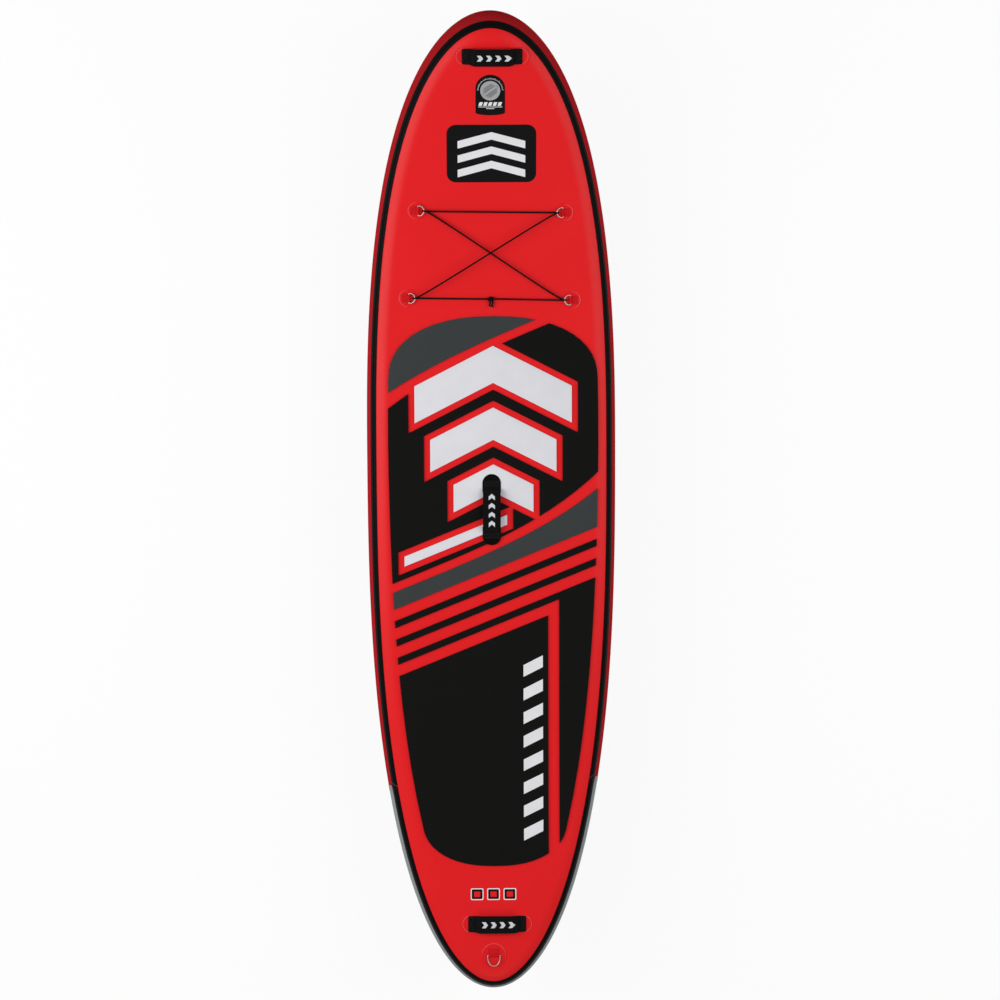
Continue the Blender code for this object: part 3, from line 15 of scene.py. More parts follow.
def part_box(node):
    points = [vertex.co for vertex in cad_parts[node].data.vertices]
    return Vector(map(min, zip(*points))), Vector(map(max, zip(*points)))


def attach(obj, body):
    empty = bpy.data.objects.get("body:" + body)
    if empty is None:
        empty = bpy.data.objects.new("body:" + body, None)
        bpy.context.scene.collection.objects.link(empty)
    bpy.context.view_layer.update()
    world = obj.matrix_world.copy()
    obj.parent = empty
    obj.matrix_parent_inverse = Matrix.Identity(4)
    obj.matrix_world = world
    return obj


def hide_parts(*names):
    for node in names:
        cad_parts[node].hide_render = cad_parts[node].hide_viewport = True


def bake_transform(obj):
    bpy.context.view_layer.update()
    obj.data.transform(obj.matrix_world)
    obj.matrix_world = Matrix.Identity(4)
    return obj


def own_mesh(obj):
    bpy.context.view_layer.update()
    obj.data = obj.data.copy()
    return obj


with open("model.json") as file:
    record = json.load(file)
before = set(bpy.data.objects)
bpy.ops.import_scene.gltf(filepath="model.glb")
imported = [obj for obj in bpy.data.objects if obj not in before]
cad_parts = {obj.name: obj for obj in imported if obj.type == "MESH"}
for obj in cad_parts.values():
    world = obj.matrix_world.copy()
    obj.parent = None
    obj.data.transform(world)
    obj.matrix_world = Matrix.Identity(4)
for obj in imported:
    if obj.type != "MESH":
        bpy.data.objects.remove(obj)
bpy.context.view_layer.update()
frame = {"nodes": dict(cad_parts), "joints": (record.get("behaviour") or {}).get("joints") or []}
JOINTS = {joint["name"]: joint for joint in frame["joints"]}

# Board
LENGTH = 3.20
HALF_WIDTH = 0.406
RAIL = 0.075
WIDEST_PLACE = 0.173
OUTLINE_POWER = 2.65
NOSE_BEND_LENGTH = 0.92
NOSE_BEND_RADIUS = 2.20
TAIL_BEND_RADIUS = 4.0
TAIL_KICK = radians(4.0)
TAIL_STRAIGHT = 0.52
SKIN = 0.0012
GAP = 0.0003
SEAM_ANGLE = radians(45.2)
SEAM_GAP = 0.0006
TAPE_WIDTH = 0.0262
TAPE_LIFT = 0.0004
TAPE = 0.0009
PAD_THICKNESS = 0.005
DECK = RAIL + GAP
PAD_TOP = DECK + PAD_THICKNESS

NOSE_ARC = (NOSE_BEND_LENGTH - RAIL) / NOSE_BEND_RADIUS
NOSE_BEND = LENGTH / 2 - RAIL - NOSE_BEND_RADIUS * sin(NOSE_ARC)
TAIL_BEND = (
    RAIL - LENGTH / 2 + TAIL_BEND_RADIUS * sin(TAIL_KICK) + (TAIL_STRAIGHT - RAIL) * cos(TAIL_KICK)
)
NOSE_TIP = NOSE_BEND + NOSE_BEND_LENGTH
TAIL_TIP = TAIL_BEND - TAIL_BEND_RADIUS * TAIL_KICK - TAIL_STRAIGHT
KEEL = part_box("bottom_skin")[0][2] + RAIL

# Places along the board
RIGHT_JOINT = TAIL_TIP + 0.697
LEFT_JOINT = RIGHT_JOINT - 0.026
VALVE_PLACE = NOSE_TIP - 0.2368
BADGE_PLACE = NOSE_TIP - 0.2530
PANEL_PLACE = 1.1713
FRAMES_PLACE = -1.2769
REAR_RING_PLACE = 0.6903
FRONT_RING_PLACE = 0.9733
LEASH_PLACE = TAIL_TIP + 0.1213
FIN_PLACE = TAIL_TIP + 0.375
SIDE_FIN_PLACE = FIN_PLACE + 0.060


# Curve of the board

def outline_point(k):
    """Right half of the flat outline, k from -1 at the tail tip to 1 at the nose tip."""
    t = sin(abs(k) * pi / 2)
    reach = (NOSE_TIP if k > 0 else TAIL_TIP) - WIDEST_PLACE
    return HALF_WIDTH * sqrt(max(0.0, 1 - t**OUTLINE_POWER)), WIDEST_PLACE + reach * t


def outward(k):
    """Unit normal of the outline."""
    if abs(k) > 0.99999:
        return 0.0, copysign(1.0, k)
    step = 1e-5
    (x0, s0), (x1, s1) = outline_point(k - step), outline_point(k + step)
    size = hypot(x1 - x0, s1 - s0)
    return (s1 - s0) / size, (x0 - x1) / size


def rail_point(side, k, angle, radius):
    """Flat place on the round rail, angle above the middle line, radius from the rail's axis."""
    x, s = outline_point(k)
    nx, ns = outward(k)
    reach = radius * cos(angle) - RAIL
    return side * (x + nx * reach), s + ns * reach, radius * sin(angle)


def last_below(low, high, steps, below):
    """The highest value between low and high for which below still holds."""
    for _ in range(steps):
        middle = (low + high) / 2
        low, high = (middle, high) if below(middle) else (low, middle)
    return low


def outline_k(place):
    """The k at this place along the board."""
    return last_below(-1.0, 1.0, 50, lambda k: outline_point(k)[1] < place)


def half_width(s):
    """Half the board's width at this place."""
    return outline_point(outline_k(s))[0]


def middle_line(s):
    """(y, z, pitch) of the bent middle line."""
    if s > NOSE_BEND:
        a = (s - NOSE_BEND) / NOSE_BEND_RADIUS
        return NOSE_BEND + NOSE_BEND_RADIUS * sin(a), NOSE_BEND_RADIUS * (1 - cos(a)), a
    if s < TAIL_BEND:
        b = min((TAIL_BEND - s) / TAIL_BEND_RADIUS, TAIL_KICK)
        rest = max(0.0, TAIL_BEND - TAIL_BEND_RADIUS * TAIL_KICK - s)
        y = TAIL_BEND - TAIL_BEND_RADIUS * sin(b) - rest * cos(b)
        return y, TAIL_BEND_RADIUS * (1 - cos(b)) + rest * sin(b), -b
    return s, 0.0, 0.0


def bent(x, s, h):
    """World place of the flat place (x, s, h)."""
    y, z, pitch = middle_line(s)
    return Vector((x, y - h * sin(pitch), z + h * cos(pitch) + KEEL))


def surface_frame(x, s, h):
    """Matrix on the board: X across, Y towards the nose, Z out of the deck."""
    return Matrix.Translation(bent(x, s, h)) @ Matrix.Rotation(middle_line(s)[2], 4, "X")


def surface_height(y, h):
    """World height at world y of the level h above the middle line."""
    return bent(0, last_below(TAIL_TIP, NOSE_TIP, 30, lambda s: bent(0, s, h).y < y), h).z


# Points

def spread(low, high, steps):
    """Evenly spaced numbers."""
    return [low + (high - low) * i / steps for i in range(steps + 1)]


def smooth_step(share):
    """0 to 1 without corners."""
    share = min(1.0, max(0.0, share))
    return share * share * (3 - 2 * share)


def arc(middle, radius, start, end, steps):
    """Flat points on a circle round a middle."""
    x, s = middle
    return [(x + radius * cos(a), s + radius * sin(a)) for a in spread(start, end, steps)]


def circle(middle, radius, steps):
    """Flat points all round a middle."""
    return arc(middle, radius, 0, 2 * pi, steps)[:-1]


def polar(radius, a, z=0.0):
    """A point at an angle round Z."""
    return Vector((radius * cos(a), radius * sin(a), z))


def round_box(width, low, high, edge, steps=3):
    """Closed outline of a centred flat band with round edges."""
    half, points = width / 2 - edge, []
    low, high = low + edge, high - edge
    for x, y, start in ((half, low, -90), (half, high, 0), (-half, high, 90), (-half, low, 180)):
        points += arc((x, y), edge, radians(start), radians(start + 90), steps)
    return points


def slanted(left, right, low, high, lean=0.0):
    """Outline of a bar whose upper end leans to the right."""
    return [(left - lean, low), (right - lean, low), (right + lean, high), (left + lean, high)]


def moved(points, x, s):
    """Flat points, moved."""
    return [(x + u, s + v) for u, v in points]


def beside(points, i, closed=False):
    """The points before and after one; the end of an open row counts as its own neighbour."""
    last = len(points) - 1
    if closed:
        return points[i - 1], points[(i + 1) % (last + 1)]
    return points[max(i - 1, 0)], points[min(i + 1, last)]


# Meshes

def linked(name, data):
    """A new object in the scene."""
    obj = bpy.data.objects.new(name, data)
    bpy.context.scene.collection.objects.link(obj)
    return obj


def mesh_of(name, bm):
    """A mesh of a bmesh, which is freed."""
    mesh = bpy.data.meshes.new(name)
    bm.to_mesh(mesh)
    bm.free()
    return mesh


def welded(mesh):
    """A bmesh of a mesh, with points that coincide made one."""
    bm = bmesh.new()
    bm.from_mesh(mesh)
    bmesh.ops.remove_doubles(bm, verts=bm.verts[:], dist=1e-6)
    return bm


def add(name, bm, finish, body="board", nodes=(), slot=None, sharp=35.0):
    """Makes a piece of a bmesh: its finish, the body that it rides on and the nodes it stands for."""
    bmesh.ops.recalc_face_normals(bm, faces=bm.faces[:])
    mesh = mesh_of(name, bm)
    mesh.shade_smooth()
    mesh.set_sharp_from_angle(angle=radians(sharp))
    mesh.materials.append(finish)
    obj = linked(name, mesh)
    if body:
        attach(obj, body)
    if nodes:
        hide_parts(*nodes)
    slot or nodes[0]
    return obj


def lengths(points):
    """Length along a closed row of points, up to each and once round."""
    out = [0.0]
    for a, b in zip(points, points[1:] + points[:1]):
        out.append(out[-1] + (b - a).length)
    return out


def loft(rings, closed=False, cap=True):
    """A skin through rings of as many points, with a UV map in metres: along, then around."""
    bm = bmesh.new()
    layer = bm.loops.layers.uv.new("UVMap")
    verts = [[bm.verts.new(point) for point in ring] for ring in rings]
    along = lengths([sum(ring, Vector()) / len(ring) for ring in rings])
    around = lengths(rings[len(rings) // 2])
    count = len(around) - 1
    for i in range(len(rings) if closed else len(rings) - 1):
        a, b = verts[i], verts[(i + 1) % len(rings)]
        for j in range(count):
            k = (j + 1) % count
            face = bm.faces.new((a[j], a[k], b[k], b[j]))
            for corner, (u, v) in zip(face.loops, ((i, j), (i, j + 1), (i + 1, j + 1), (i + 1, j))):
                corner[layer].uv = (along[u], around[v])
    if cap and not closed:
        bm.faces.new(verts[0])
        bm.faces.new(verts[-1][::-1])
    bmesh.ops.remove_doubles(bm, verts=bm.verts[:], dist=1e-6)
    return bm


def tube(points, radius, sides=12, closed=False):
    """A round tube along points, without twist; radius is a number or one for each point."""
    radii = radius if isinstance(radius, list) else [radius] * len(points)
    rings, side = [], None
    for i, point in enumerate(points):
        before, after = beside(points, i, closed)
        way = (after - before).normalized()
        side = side or way.orthogonal()
        side = (side - way * side.dot(way)).normalized()
        up = way.cross(side)
        rings.append([point + (side * cos(a) + up * sin(a)) * radii[i]
                      for a in spread(0, 2 * pi, sides)[:-1]])
    return loft(rings, closed)


def plate(outline, low, thick, edge=0.0, holes=()):
    """A flat plate in flat coordinates, with a rounded upper edge."""
    curve = bpy.data.curves.new("outline", "CURVE")
    curve.dimensions = "2D"
    curve.fill_mode = "BOTH"
    curve.extrude = thick / 2
    for ring in (outline, *holes):
        spline = curve.splines.new("POLY")
        spline.points.add(len(ring) - 1)
        for point, (x, s) in zip(spline.points, ring):
            point.co = (x, s, 0, 1)
        spline.use_cyclic_u = True
    obj = linked("outline", curve)
    bpy.context.view_layer.update()
    mesh = bpy.data.meshes.new_from_object(obj.evaluated_get(bpy.context.evaluated_depsgraph_get()))
    bm = welded(mesh)
    bpy.data.objects.remove(obj)
    bpy.data.curves.remove(curve)
    bpy.data.meshes.remove(mesh)
    bmesh.ops.translate(bm, verts=bm.verts[:], vec=(0, 0, low + thick / 2))
    if edge:
        top = low + thick - 1e-5
        soften(bm, edge, 2, 0.2, 30, lambda e: min(v.co.z for v in e.verts) > top)
    return bm


def soften(bm, edge, steps, flat, sharp, chosen):
    """Joins faces within the flat angle; rounds the chosen edges past the sharp one (degrees)."""
    bmesh.ops.dissolve_limit(bm, angle_limit=radians(flat), verts=bm.verts[:], edges=bm.edges[:],
                             use_dissolve_boundaries=False)
    rim = [e for e in bm.edges
           if len(e.link_faces) == 2 and e.calc_face_angle(0) > radians(sharp) and chosen(e)]
    bmesh.ops.bevel(bm, geom=rim, offset=edge, segments=steps, affect="EDGES", profile=0.5,
                    clamp_overlap=True)
    bmesh.ops.triangulate(bm, faces=[f for f in bm.faces if len(f.verts) > 4])


def from_node(name, edge, steps=2, chosen=lambda e: True):
    """A copy of a node's solid with its sharp edges rounded."""
    bm = welded(frame["nodes"][name].data)
    soften(bm, edge, steps, 0.3, 40, chosen)
    return bm


def split(bm, place, normal, parts=None, **more):
    """Cuts a bmesh, or only these parts of it, along a plane."""
    bmesh.ops.bisect_plane(bm, geom=parts or bm.verts[:] + bm.edges[:] + bm.faces[:],
                           plane_co=place, plane_no=normal, **more)


def lay(bm, step=0.01, place=bent, axis=1):
    """Cuts a flat bmesh across every step along an axis and puts its points in place."""
    low, high = (pick(v.co[axis] for v in bm.verts) for pick in (min, max))
    across = Vector((1 - axis, axis, 0))
    for i in range(ceil(low / step), floor(high / step) + 1):
        line = i * step
        if axis == 0 or NOSE_BEND - step < line or line < TAIL_BEND + step:
            split(bm, across * line, across, dist=1e-7)
    for vert in bm.verts:
        vert.co = place(*vert.co)
    return bm


def printed(outlines, level, thick, step=0.01, place=bent, holes=()):
    """Thin printed shapes on the board; holes has a list for each outline, or nothing."""
    cut = holes or [()] * len(outlines)
    return lay(join([plate(shape, level, thick, holes=gaps) for shape, gaps in zip(outlines, cut)]),
               step, place)


def onto(piece, level):
    """Place on a piece that lies near level above the middle line: h is counted from its surface."""
    mesh = piece.data
    tree = BVHTree.FromPolygons([v.co for v in mesh.vertices], [p.vertices for p in mesh.polygons])

    def place(x, s, h):
        spot = bent(x, s, level)
        up = (bent(x, s, level + 0.01) - spot).normalized()
        hit = tree.ray_cast(spot + up * 0.003, -up, 0.006)[0]
        return (hit or spot) + up * h
    return place


def join(parts):
    """One bmesh of several, kept as separate shells."""
    whole = bmesh.new()
    for bm in parts:
        mesh = mesh_of("join", bm)
        whole.from_mesh(mesh)
        bpy.data.meshes.remove(mesh)
    return whole


# Materials

class Nodes:
    """A node tree, with short ways to add to it."""

    def __init__(self, tree):
        self.tree = tree

    def node(self, kind, links=(), **values):
        """A node with its properties set, and its inputs linked or set by name or number."""
        made = self.tree.nodes.new("ShaderNode" + kind)
        for key, value in values.items():
            setattr(made, key, value)
        for socket, source in dict(links).items():
            self.feed(made, socket, source)
        return made

    def feed(self, made, socket, source):
        """Links or sets one input."""
        if isinstance(source, (int, float, tuple)):
            made.inputs[socket].default_value = source
        else:
            self.tree.links.new(source, made.inputs[socket])

    def coordinates(self, uv=False, turn=0, stretch=(1, 1, 1)):
        """Object or UV coordinates, turned about Z by degrees and stretched."""
        source = self.node("TexCoord").outputs["UV" if uv else "Object"]
        if not turn and stretch == (1, 1, 1):
            return source
        links = {"Vector": source, "Rotation": (0, 0, radians(turn)), "Scale": stretch}
        return self.node("Mapping", links).outputs["Vector"]

    def noise(self, place, scale, detail=2.0):
        """Noise from 0 to 1; scale is in bumps per metre."""
        links = {"Vector": place, "Scale": scale, "Detail": detail}
        return self.node("TexNoise", links).outputs["Fac"]

    def bands(self, place, period, direction="X", phase=0.0):
        """Soft parallel ridges, period in metres."""
        links = {"Vector": place, "Scale": 0.314159 / period, "Phase Offset": phase}
        return self.node("TexWave", links, wave_type="BANDS", bands_direction=direction,
                         wave_profile="SIN").outputs["Fac"]

    def maths(self, kind, a, b):
        """a kind b, such as ADD."""
        return self.node("Math", {0: a, 1: b}, operation=kind).outputs[0]

    def weighed(self, a, share_a, b, share_b):
        """The sum of a and b, each times its share."""
        first, second = self.maths("MULTIPLY", a, share_a), self.maths("MULTIPLY", b, share_b)
        return self.maths("ADD", first, second)

    def spanned(self, value, low, high, start=0.0, end=1.0):
        """value from start..end to low..high."""
        return self.node("MapRange", {"Value": value, "From Min": start, "From Max": end,
                                      "To Min": low, "To Max": high}).outputs["Result"]

    def backdrop_seen(self):
        """1 for the camera's rays, and for rays out of a reflection or through something clear."""
        path = self.node("LightPath").outputs
        seen = self.maths("MAXIMUM", path["Is Camera Ray"], path["Is Glossy Ray"])
        return self.maths("MAXIMUM", seen, path["Is Transmission Ray"])


class Finish(Nodes):
    """A Principled material."""

    def __init__(self, name, colour, roughness, metallic=0.0, **sockets):
        self.material = bpy.data.materials.new(name)
        self.material.use_nodes = True
        super().__init__(self.material.node_tree)
        self.surface = self.tree.nodes["Principled BSDF"]
        self.colour, self.roughness, self.relief = colour, roughness, None
        sockets |= {"Base Color": (*colour, 1), "Roughness": roughness, "Metallic": metallic}
        for socket, value in sockets.items():
            self.feed(self.surface, socket.replace("_", " "), value)

    def shade(self, amount, factor):
        """Colour that wanders by amount either way."""
        dark, light = ((*(min(1.0, c * share) for c in self.colour), 1)
                       for share in (1 - amount, 1 + amount))
        mix = self.node("Mix", {"Factor": factor, 6: dark, 7: light}, data_type="RGBA")
        self.feed(self.surface, "Base Color", mix.outputs[2])

    def roughen(self, less, more, factor):
        """Roughness that wanders down by less and up by more."""
        wander = self.spanned(factor, self.roughness - less, self.roughness + more, 0.3, 0.7)
        self.feed(self.surface, "Roughness", wander)

    def bump(self, height, depth, strength=1.0):
        """Relief of this depth in metres, over the relief so far."""
        links = {"Height": height, "Distance": depth, "Strength": strength}
        if self.relief:
            links["Normal"] = self.relief
        self.relief = self.node("Bump", links).outputs["Normal"]
        self.feed(self.surface, "Normal", self.relief)


def pvc(name, colour, roughness=0.36, gloss=0.12):
    """Coated cloth: a faint weave shows through a soft gloss, over slow unevenness."""
    made = Finish(name, colour, roughness, Specular_IOR_Level=gloss)
    place = made.coordinates()
    slow, fine = made.noise(place, 5.0, 3.0), made.noise(place, 160.0)
    made.shade(0.05, made.weighed(slow, 0.7, fine, 0.3))
    made.roughen(0.05, 0.07, fine)
    weave = made.maths("MULTIPLY", made.bands(place, 0.0014), made.bands(place, 0.0014, "Y"))
    made.bump(slow, 0.0016)
    made.bump(weave, 0.00004, 0.6)
    return made.material


def foam(name, colour):
    """Closed-cell foam with shallow diamond grooves and a fine grain."""
    made = Finish(name, colour, 0.82, Specular_IOR_Level=0.03)
    place = made.coordinates()
    grain, slow = made.noise(place, 900.0), made.noise(place, 14.0)
    groove_relief_and_shade = [made.spanned(made.bands(made.coordinates(turn=turn), 0.0078), 0, 1, 0.0, 0.14)
               for turn in (30, -30)]
    made.shade(0.10, made.weighed(grain, 0.5, slow, 0.5))
    made.roughen(0.06, 0.08, grain)
    made.bump(made.maths("MINIMUM", *groove_relief_and_shade), 0.00025, 0.7)
    made.bump(grain, 0.00015, 0.6)
    return made.material


def cloth(name, colour, along=0.0024, across=0.0016, depth=0.00035):
    """Woven webbing, on the UV map in metres."""
    made = Finish(name, colour, 0.8, Specular_IOR_Level=0.05, Sheen_Weight=0.01)
    place = made.coordinates(uv=True)
    warp = made.bands(place, across, "Y")
    weft, shifted = made.bands(place, along), made.bands(place, along, phase=pi)
    over = made.node("Mix", {"Factor": warp, 2: weft, 3: shifted}, data_type="FLOAT").outputs[0]
    height = made.maths("ADD", over, made.maths("MULTIPLY", warp, 0.6))
    # Colour follows the weave's height: the lower threads are darker, a painted shade in the weave's
    # hollows.
    made.shade(0.30, made.spanned(height, 0.0, 1.0, 0.2, 1.4))
    made.bump(height, depth, 0.8)
    made.bump(made.noise(place, 1500.0), 0.0001, 0.5)
    return made.material


def braid(name, colour):
    """A braided cord's cover, on the UV map in metres."""
    made = Finish(name, colour, 0.72, Specular_IOR_Level=0.05, Sheen_Weight=0.01)
    strands = [made.bands(made.coordinates(uv=True, turn=turn), 0.0016) for turn in (35, -35)]
    height = made.maths("MAXIMUM", *strands)
    # Colour follows the braid's height: the strands' low parts are darker, a painted shade between
    # them.
    made.shade(0.35, made.spanned(height, 0, 1, 0.4, 1.0))
    made.bump(height, 0.0004, 0.9)
    return made.material


def moulded(name, colour, roughness=0.42, depth=0.00012, gloss=0.15):
    """Moulded plastic with a fine grain."""
    made = Finish(name, colour, roughness, Specular_IOR_Level=gloss)
    place = made.coordinates()
    grain, slow = made.noise(place, 1400.0, 3.0), made.noise(place, 30.0)
    made.shade(0.06, slow)
    made.roughen(0.06, 0.08, slow)
    made.bump(grain, depth, 0.5)
    return made.material


def metal(name, colour, roughness):
    """Drawn metal with fine marks along it and slight tarnish."""
    made = Finish(name, colour, roughness, 1.0)
    marks = made.noise(made.coordinates(stretch=(1, 1, 4)), 700.0, 3.0)
    made.shade(0.10, made.noise(made.coordinates(), 90.0, 3.0))
    made.roughen(0.06, 0.12, marks)
    made.bump(marks, 0.00003, 0.5)
    return made.material


RED_PVC = pvc("red_pvc", (0.79, 0.0115, 0.0145), 0.36, 0.14)
RED_PATCH = pvc("red_patch_pvc", (0.74, 0.0105, 0.0145), 0.40)
# Welds: a real raised band, coloured lighter and pinker than the patches as a painted sheen.
WELD_PAINTED_SHEEN = pvc("red_weld_painted_sheen", (0.80, 0.070, 0.075), 0.28, 0.3)
# Nose side wall: the deck's red PVC darkened, a painted shade for a rail that faces away from the
# light.
SHADE_PAINTED_RED_PVC = pvc("red_pvc_painted_shade", (0.40, 0.0135, 0.0175), 0.42, 0.0)
GREY_PVC = pvc("grey_pvc", (0.235, 0.265, 0.275))
# Stern side wall and laps: the grey PVC lightened, a painted light that offsets the shade on a wall
# facing sideways.
LIGHT_PAINTED_GREY_PVC = pvc("grey_pvc_painted_light", (0.28, 0.30, 0.305), 0.42, 0.01)
BLACK_TAPE = pvc("black_tape_pvc", (0.0036, 0.0034, 0.0034), 0.34, 0.02)
SEAM_BEAD = pvc("seam_bead", (0.110, 0.085, 0.080), 0.36, 0.05)
BLACK_FOAM = foam("black_foam", (0.0072, 0.0072, 0.0068))
GREY_FOAM = foam("grey_foam", (0.047, 0.052, 0.053))
WHITE_FOAM = foam("white_foam", (0.76, 0.76, 0.80))
WEBBING = cloth("black_webbing", (0.0042, 0.0042, 0.0045))
SLEEVE = cloth("black_sleeve_cloth", (0.0036, 0.0036, 0.0040), 0.0011, 0.0011, 0.00015)
RED_WEBBING = cloth("red_webbing", (0.66, 0.010, 0.015))
THREAD = moulded("black_thread", (0.020, 0.020, 0.021), 0.7, 0.0002)
RED_THREAD = moulded("red_thread", (0.62, 0.020, 0.026), 0.7, 0.0002)
CORD_COVER = braid("black_cord_cover", (0.0035, 0.0034, 0.0034))
LIGHT_TIP = moulded("light_tip", (0.30, 0.10, 0.09), 0.35)
WHITE_PRINT = moulded("white_print", (0.80, 0.80, 0.82), 0.45, 0.00004)
BLACK_PRINT = moulded("black_print", (0.0055, 0.0055, 0.0055), 0.38, 0.00004, 0.04)
LIGHT_WEAVE = cloth("light_woven_label", (0.80, 0.80, 0.82), 0.0010, 0.0010, 0.0001)
STEEL = metal("drawn_steel", (0.31, 0.27, 0.25), 0.24)
BRASS = metal("brass", (0.68, 0.46, 0.17), 0.30)
SILVER = moulded("silver_plastic", (0.38, 0.39, 0.40), 0.38)
DARK_PLASTIC = moulded("dark_plastic", (0.055, 0.055, 0.060), 0.42)
BLACK_PLASTIC = moulded("black_plastic", (0.0105, 0.0105, 0.0112), 0.40)
RUBBER = moulded("rubber", (0.014, 0.014, 0.014), 0.66)
YARN = cloth("yarn", (0.70, 0.69, 0.65))


# Hull

VALVE_HOLE = 0.044
BEAD_AHEAD = 0.016
BEAD_SLANT = 0.009
BEAD_RADIUS = 0.0008
TAPE_LEAST = 0.0001
LAP_REACH = 0.010
LAP_SHARE = 0.72
LAP_SINK = 0.0003
TIP_PACKING = 0.30
# k of the rows of points along the board, closer together towards both tips
STATIONS = [u * (1 + TIP_PACKING * (1 - u * u)) for u in spread(-1.0, 1.0, 128)]
LAID = {}


def shell(path, angles, outer, inner):
    """A thin shell along a path of (side, k), with an outer and an inner radius at each angle."""
    rows = [*zip(angles, outer), *zip(angles[::-1], inner[::-1])]
    return [[bent(*rail_point(side, k, a, r)) for a, r in rows] for side, k in path]


def hull_sheet(name, up, finish, replaced):
    """Deck or bottom: flat in the middle, round over both shoulders to the seam."""
    climb = spread(SEAM_ANGLE + SEAM_GAP / 2 / RAIL, pi / 2, 8)
    row = [(-1, a) for a in climb] + [(1, a) for a in reversed(climb)]
    rings = []
    for k in STATIONS:
        flat = [rail_point(side, k, a, RAIL) for side, a in row]
        flat += [rail_point(side, k, a, RAIL - SKIN) for side, a in reversed(row)]
        rings.append([bent(x, s, h * up) for x, s, h in flat])
    bm = loft(rings, cap=False)
    fill_holes(bm)
    if up > 0:
        bm = pierced(bm, valve_frame(), VALVE_HOLE / 2)
    return add(name, bm, finish, nodes=(replaced,))


def fill_holes(bm):
    """Closes what is open."""
    edges = [e for e in bm.edges if e.is_boundary]
    if edges:
        bmesh.ops.holes_fill(bm, edges=edges, sides=0)


def pierced(bm, place, radius):
    """A sheet with a round hole square to the frame; its wide faces are split beside it first."""
    x, y, _ = place.translation
    reach, tall = radius * 1.4, 0.02
    for side in (-1, 1):
        faces = [f for f in bm.faces if min(v.co.y for v in f.verts) < y + reach
                 and max(v.co.y for v in f.verts) > y - reach]
        parts = [*faces, *(e for f in faces for e in f.edges), *(v for f in faces for v in f.verts)]
        split(bm, (x + side * reach, 0, 0), (1, 0, 0), list(dict.fromkeys(parts)))
    cutter = loft([[place @ polar(radius, a, z) for a in spread(0, 2 * pi, 64)[:-1]]
                   for z in (-tall, tall)])
    loose = []
    for source in (bm, cutter):
        bmesh.ops.recalc_face_normals(source, faces=source.faces[:])
        loose.append(linked("loose", mesh_of("loose", source)))
    hole = loose[0].modifiers.new("hole", "BOOLEAN")
    hole.object, hole.operation, hole.solver = loose[1], "DIFFERENCE", "EXACT"
    out = bmesh.new()
    out.from_object(loose[0], bpy.context.evaluated_depsgraph_get())
    for obj in loose:
        mesh = obj.data
        bpy.data.objects.remove(obj)
        bpy.data.meshes.remove(mesh)
    return out


def rail_path(left, right, way):
    """(side, k) from a place on the left to one on the right, round the nose (1) or the tail (-1)."""
    rows, apart = STATIONS[::way], 0.002
    there = [left] + [k for k in rows if (k - left) * way > apart]
    back = [k for k in reversed(rows) if (k - right) * way > apart] + [right]
    return [(-1, k) for k in there] + [(1, k) for k in back[1:]]


def tape_profile(up):
    """Angles and radii across a tape: soft edges and a narrow second layer in the middle."""
    half = TAPE_WIDTH / 2 / RAIL
    rows = ((0.0, 1.0), (0.55, 0.985), (0.70, 0.94), (0.70, 0.34), (1.0, 0.31))
    rows = [(height, -share) for height, share in rows] + [*reversed(rows)]
    angles = [up * (SEAM_ANGLE + half * share) for _, share in rows]
    outer = [RAIL + TAPE_LIFT + TAPE * height + TAPE_LEAST for height, _ in rows]
    return angles, outer, [RAIL + TAPE_LIFT] * len(angles)


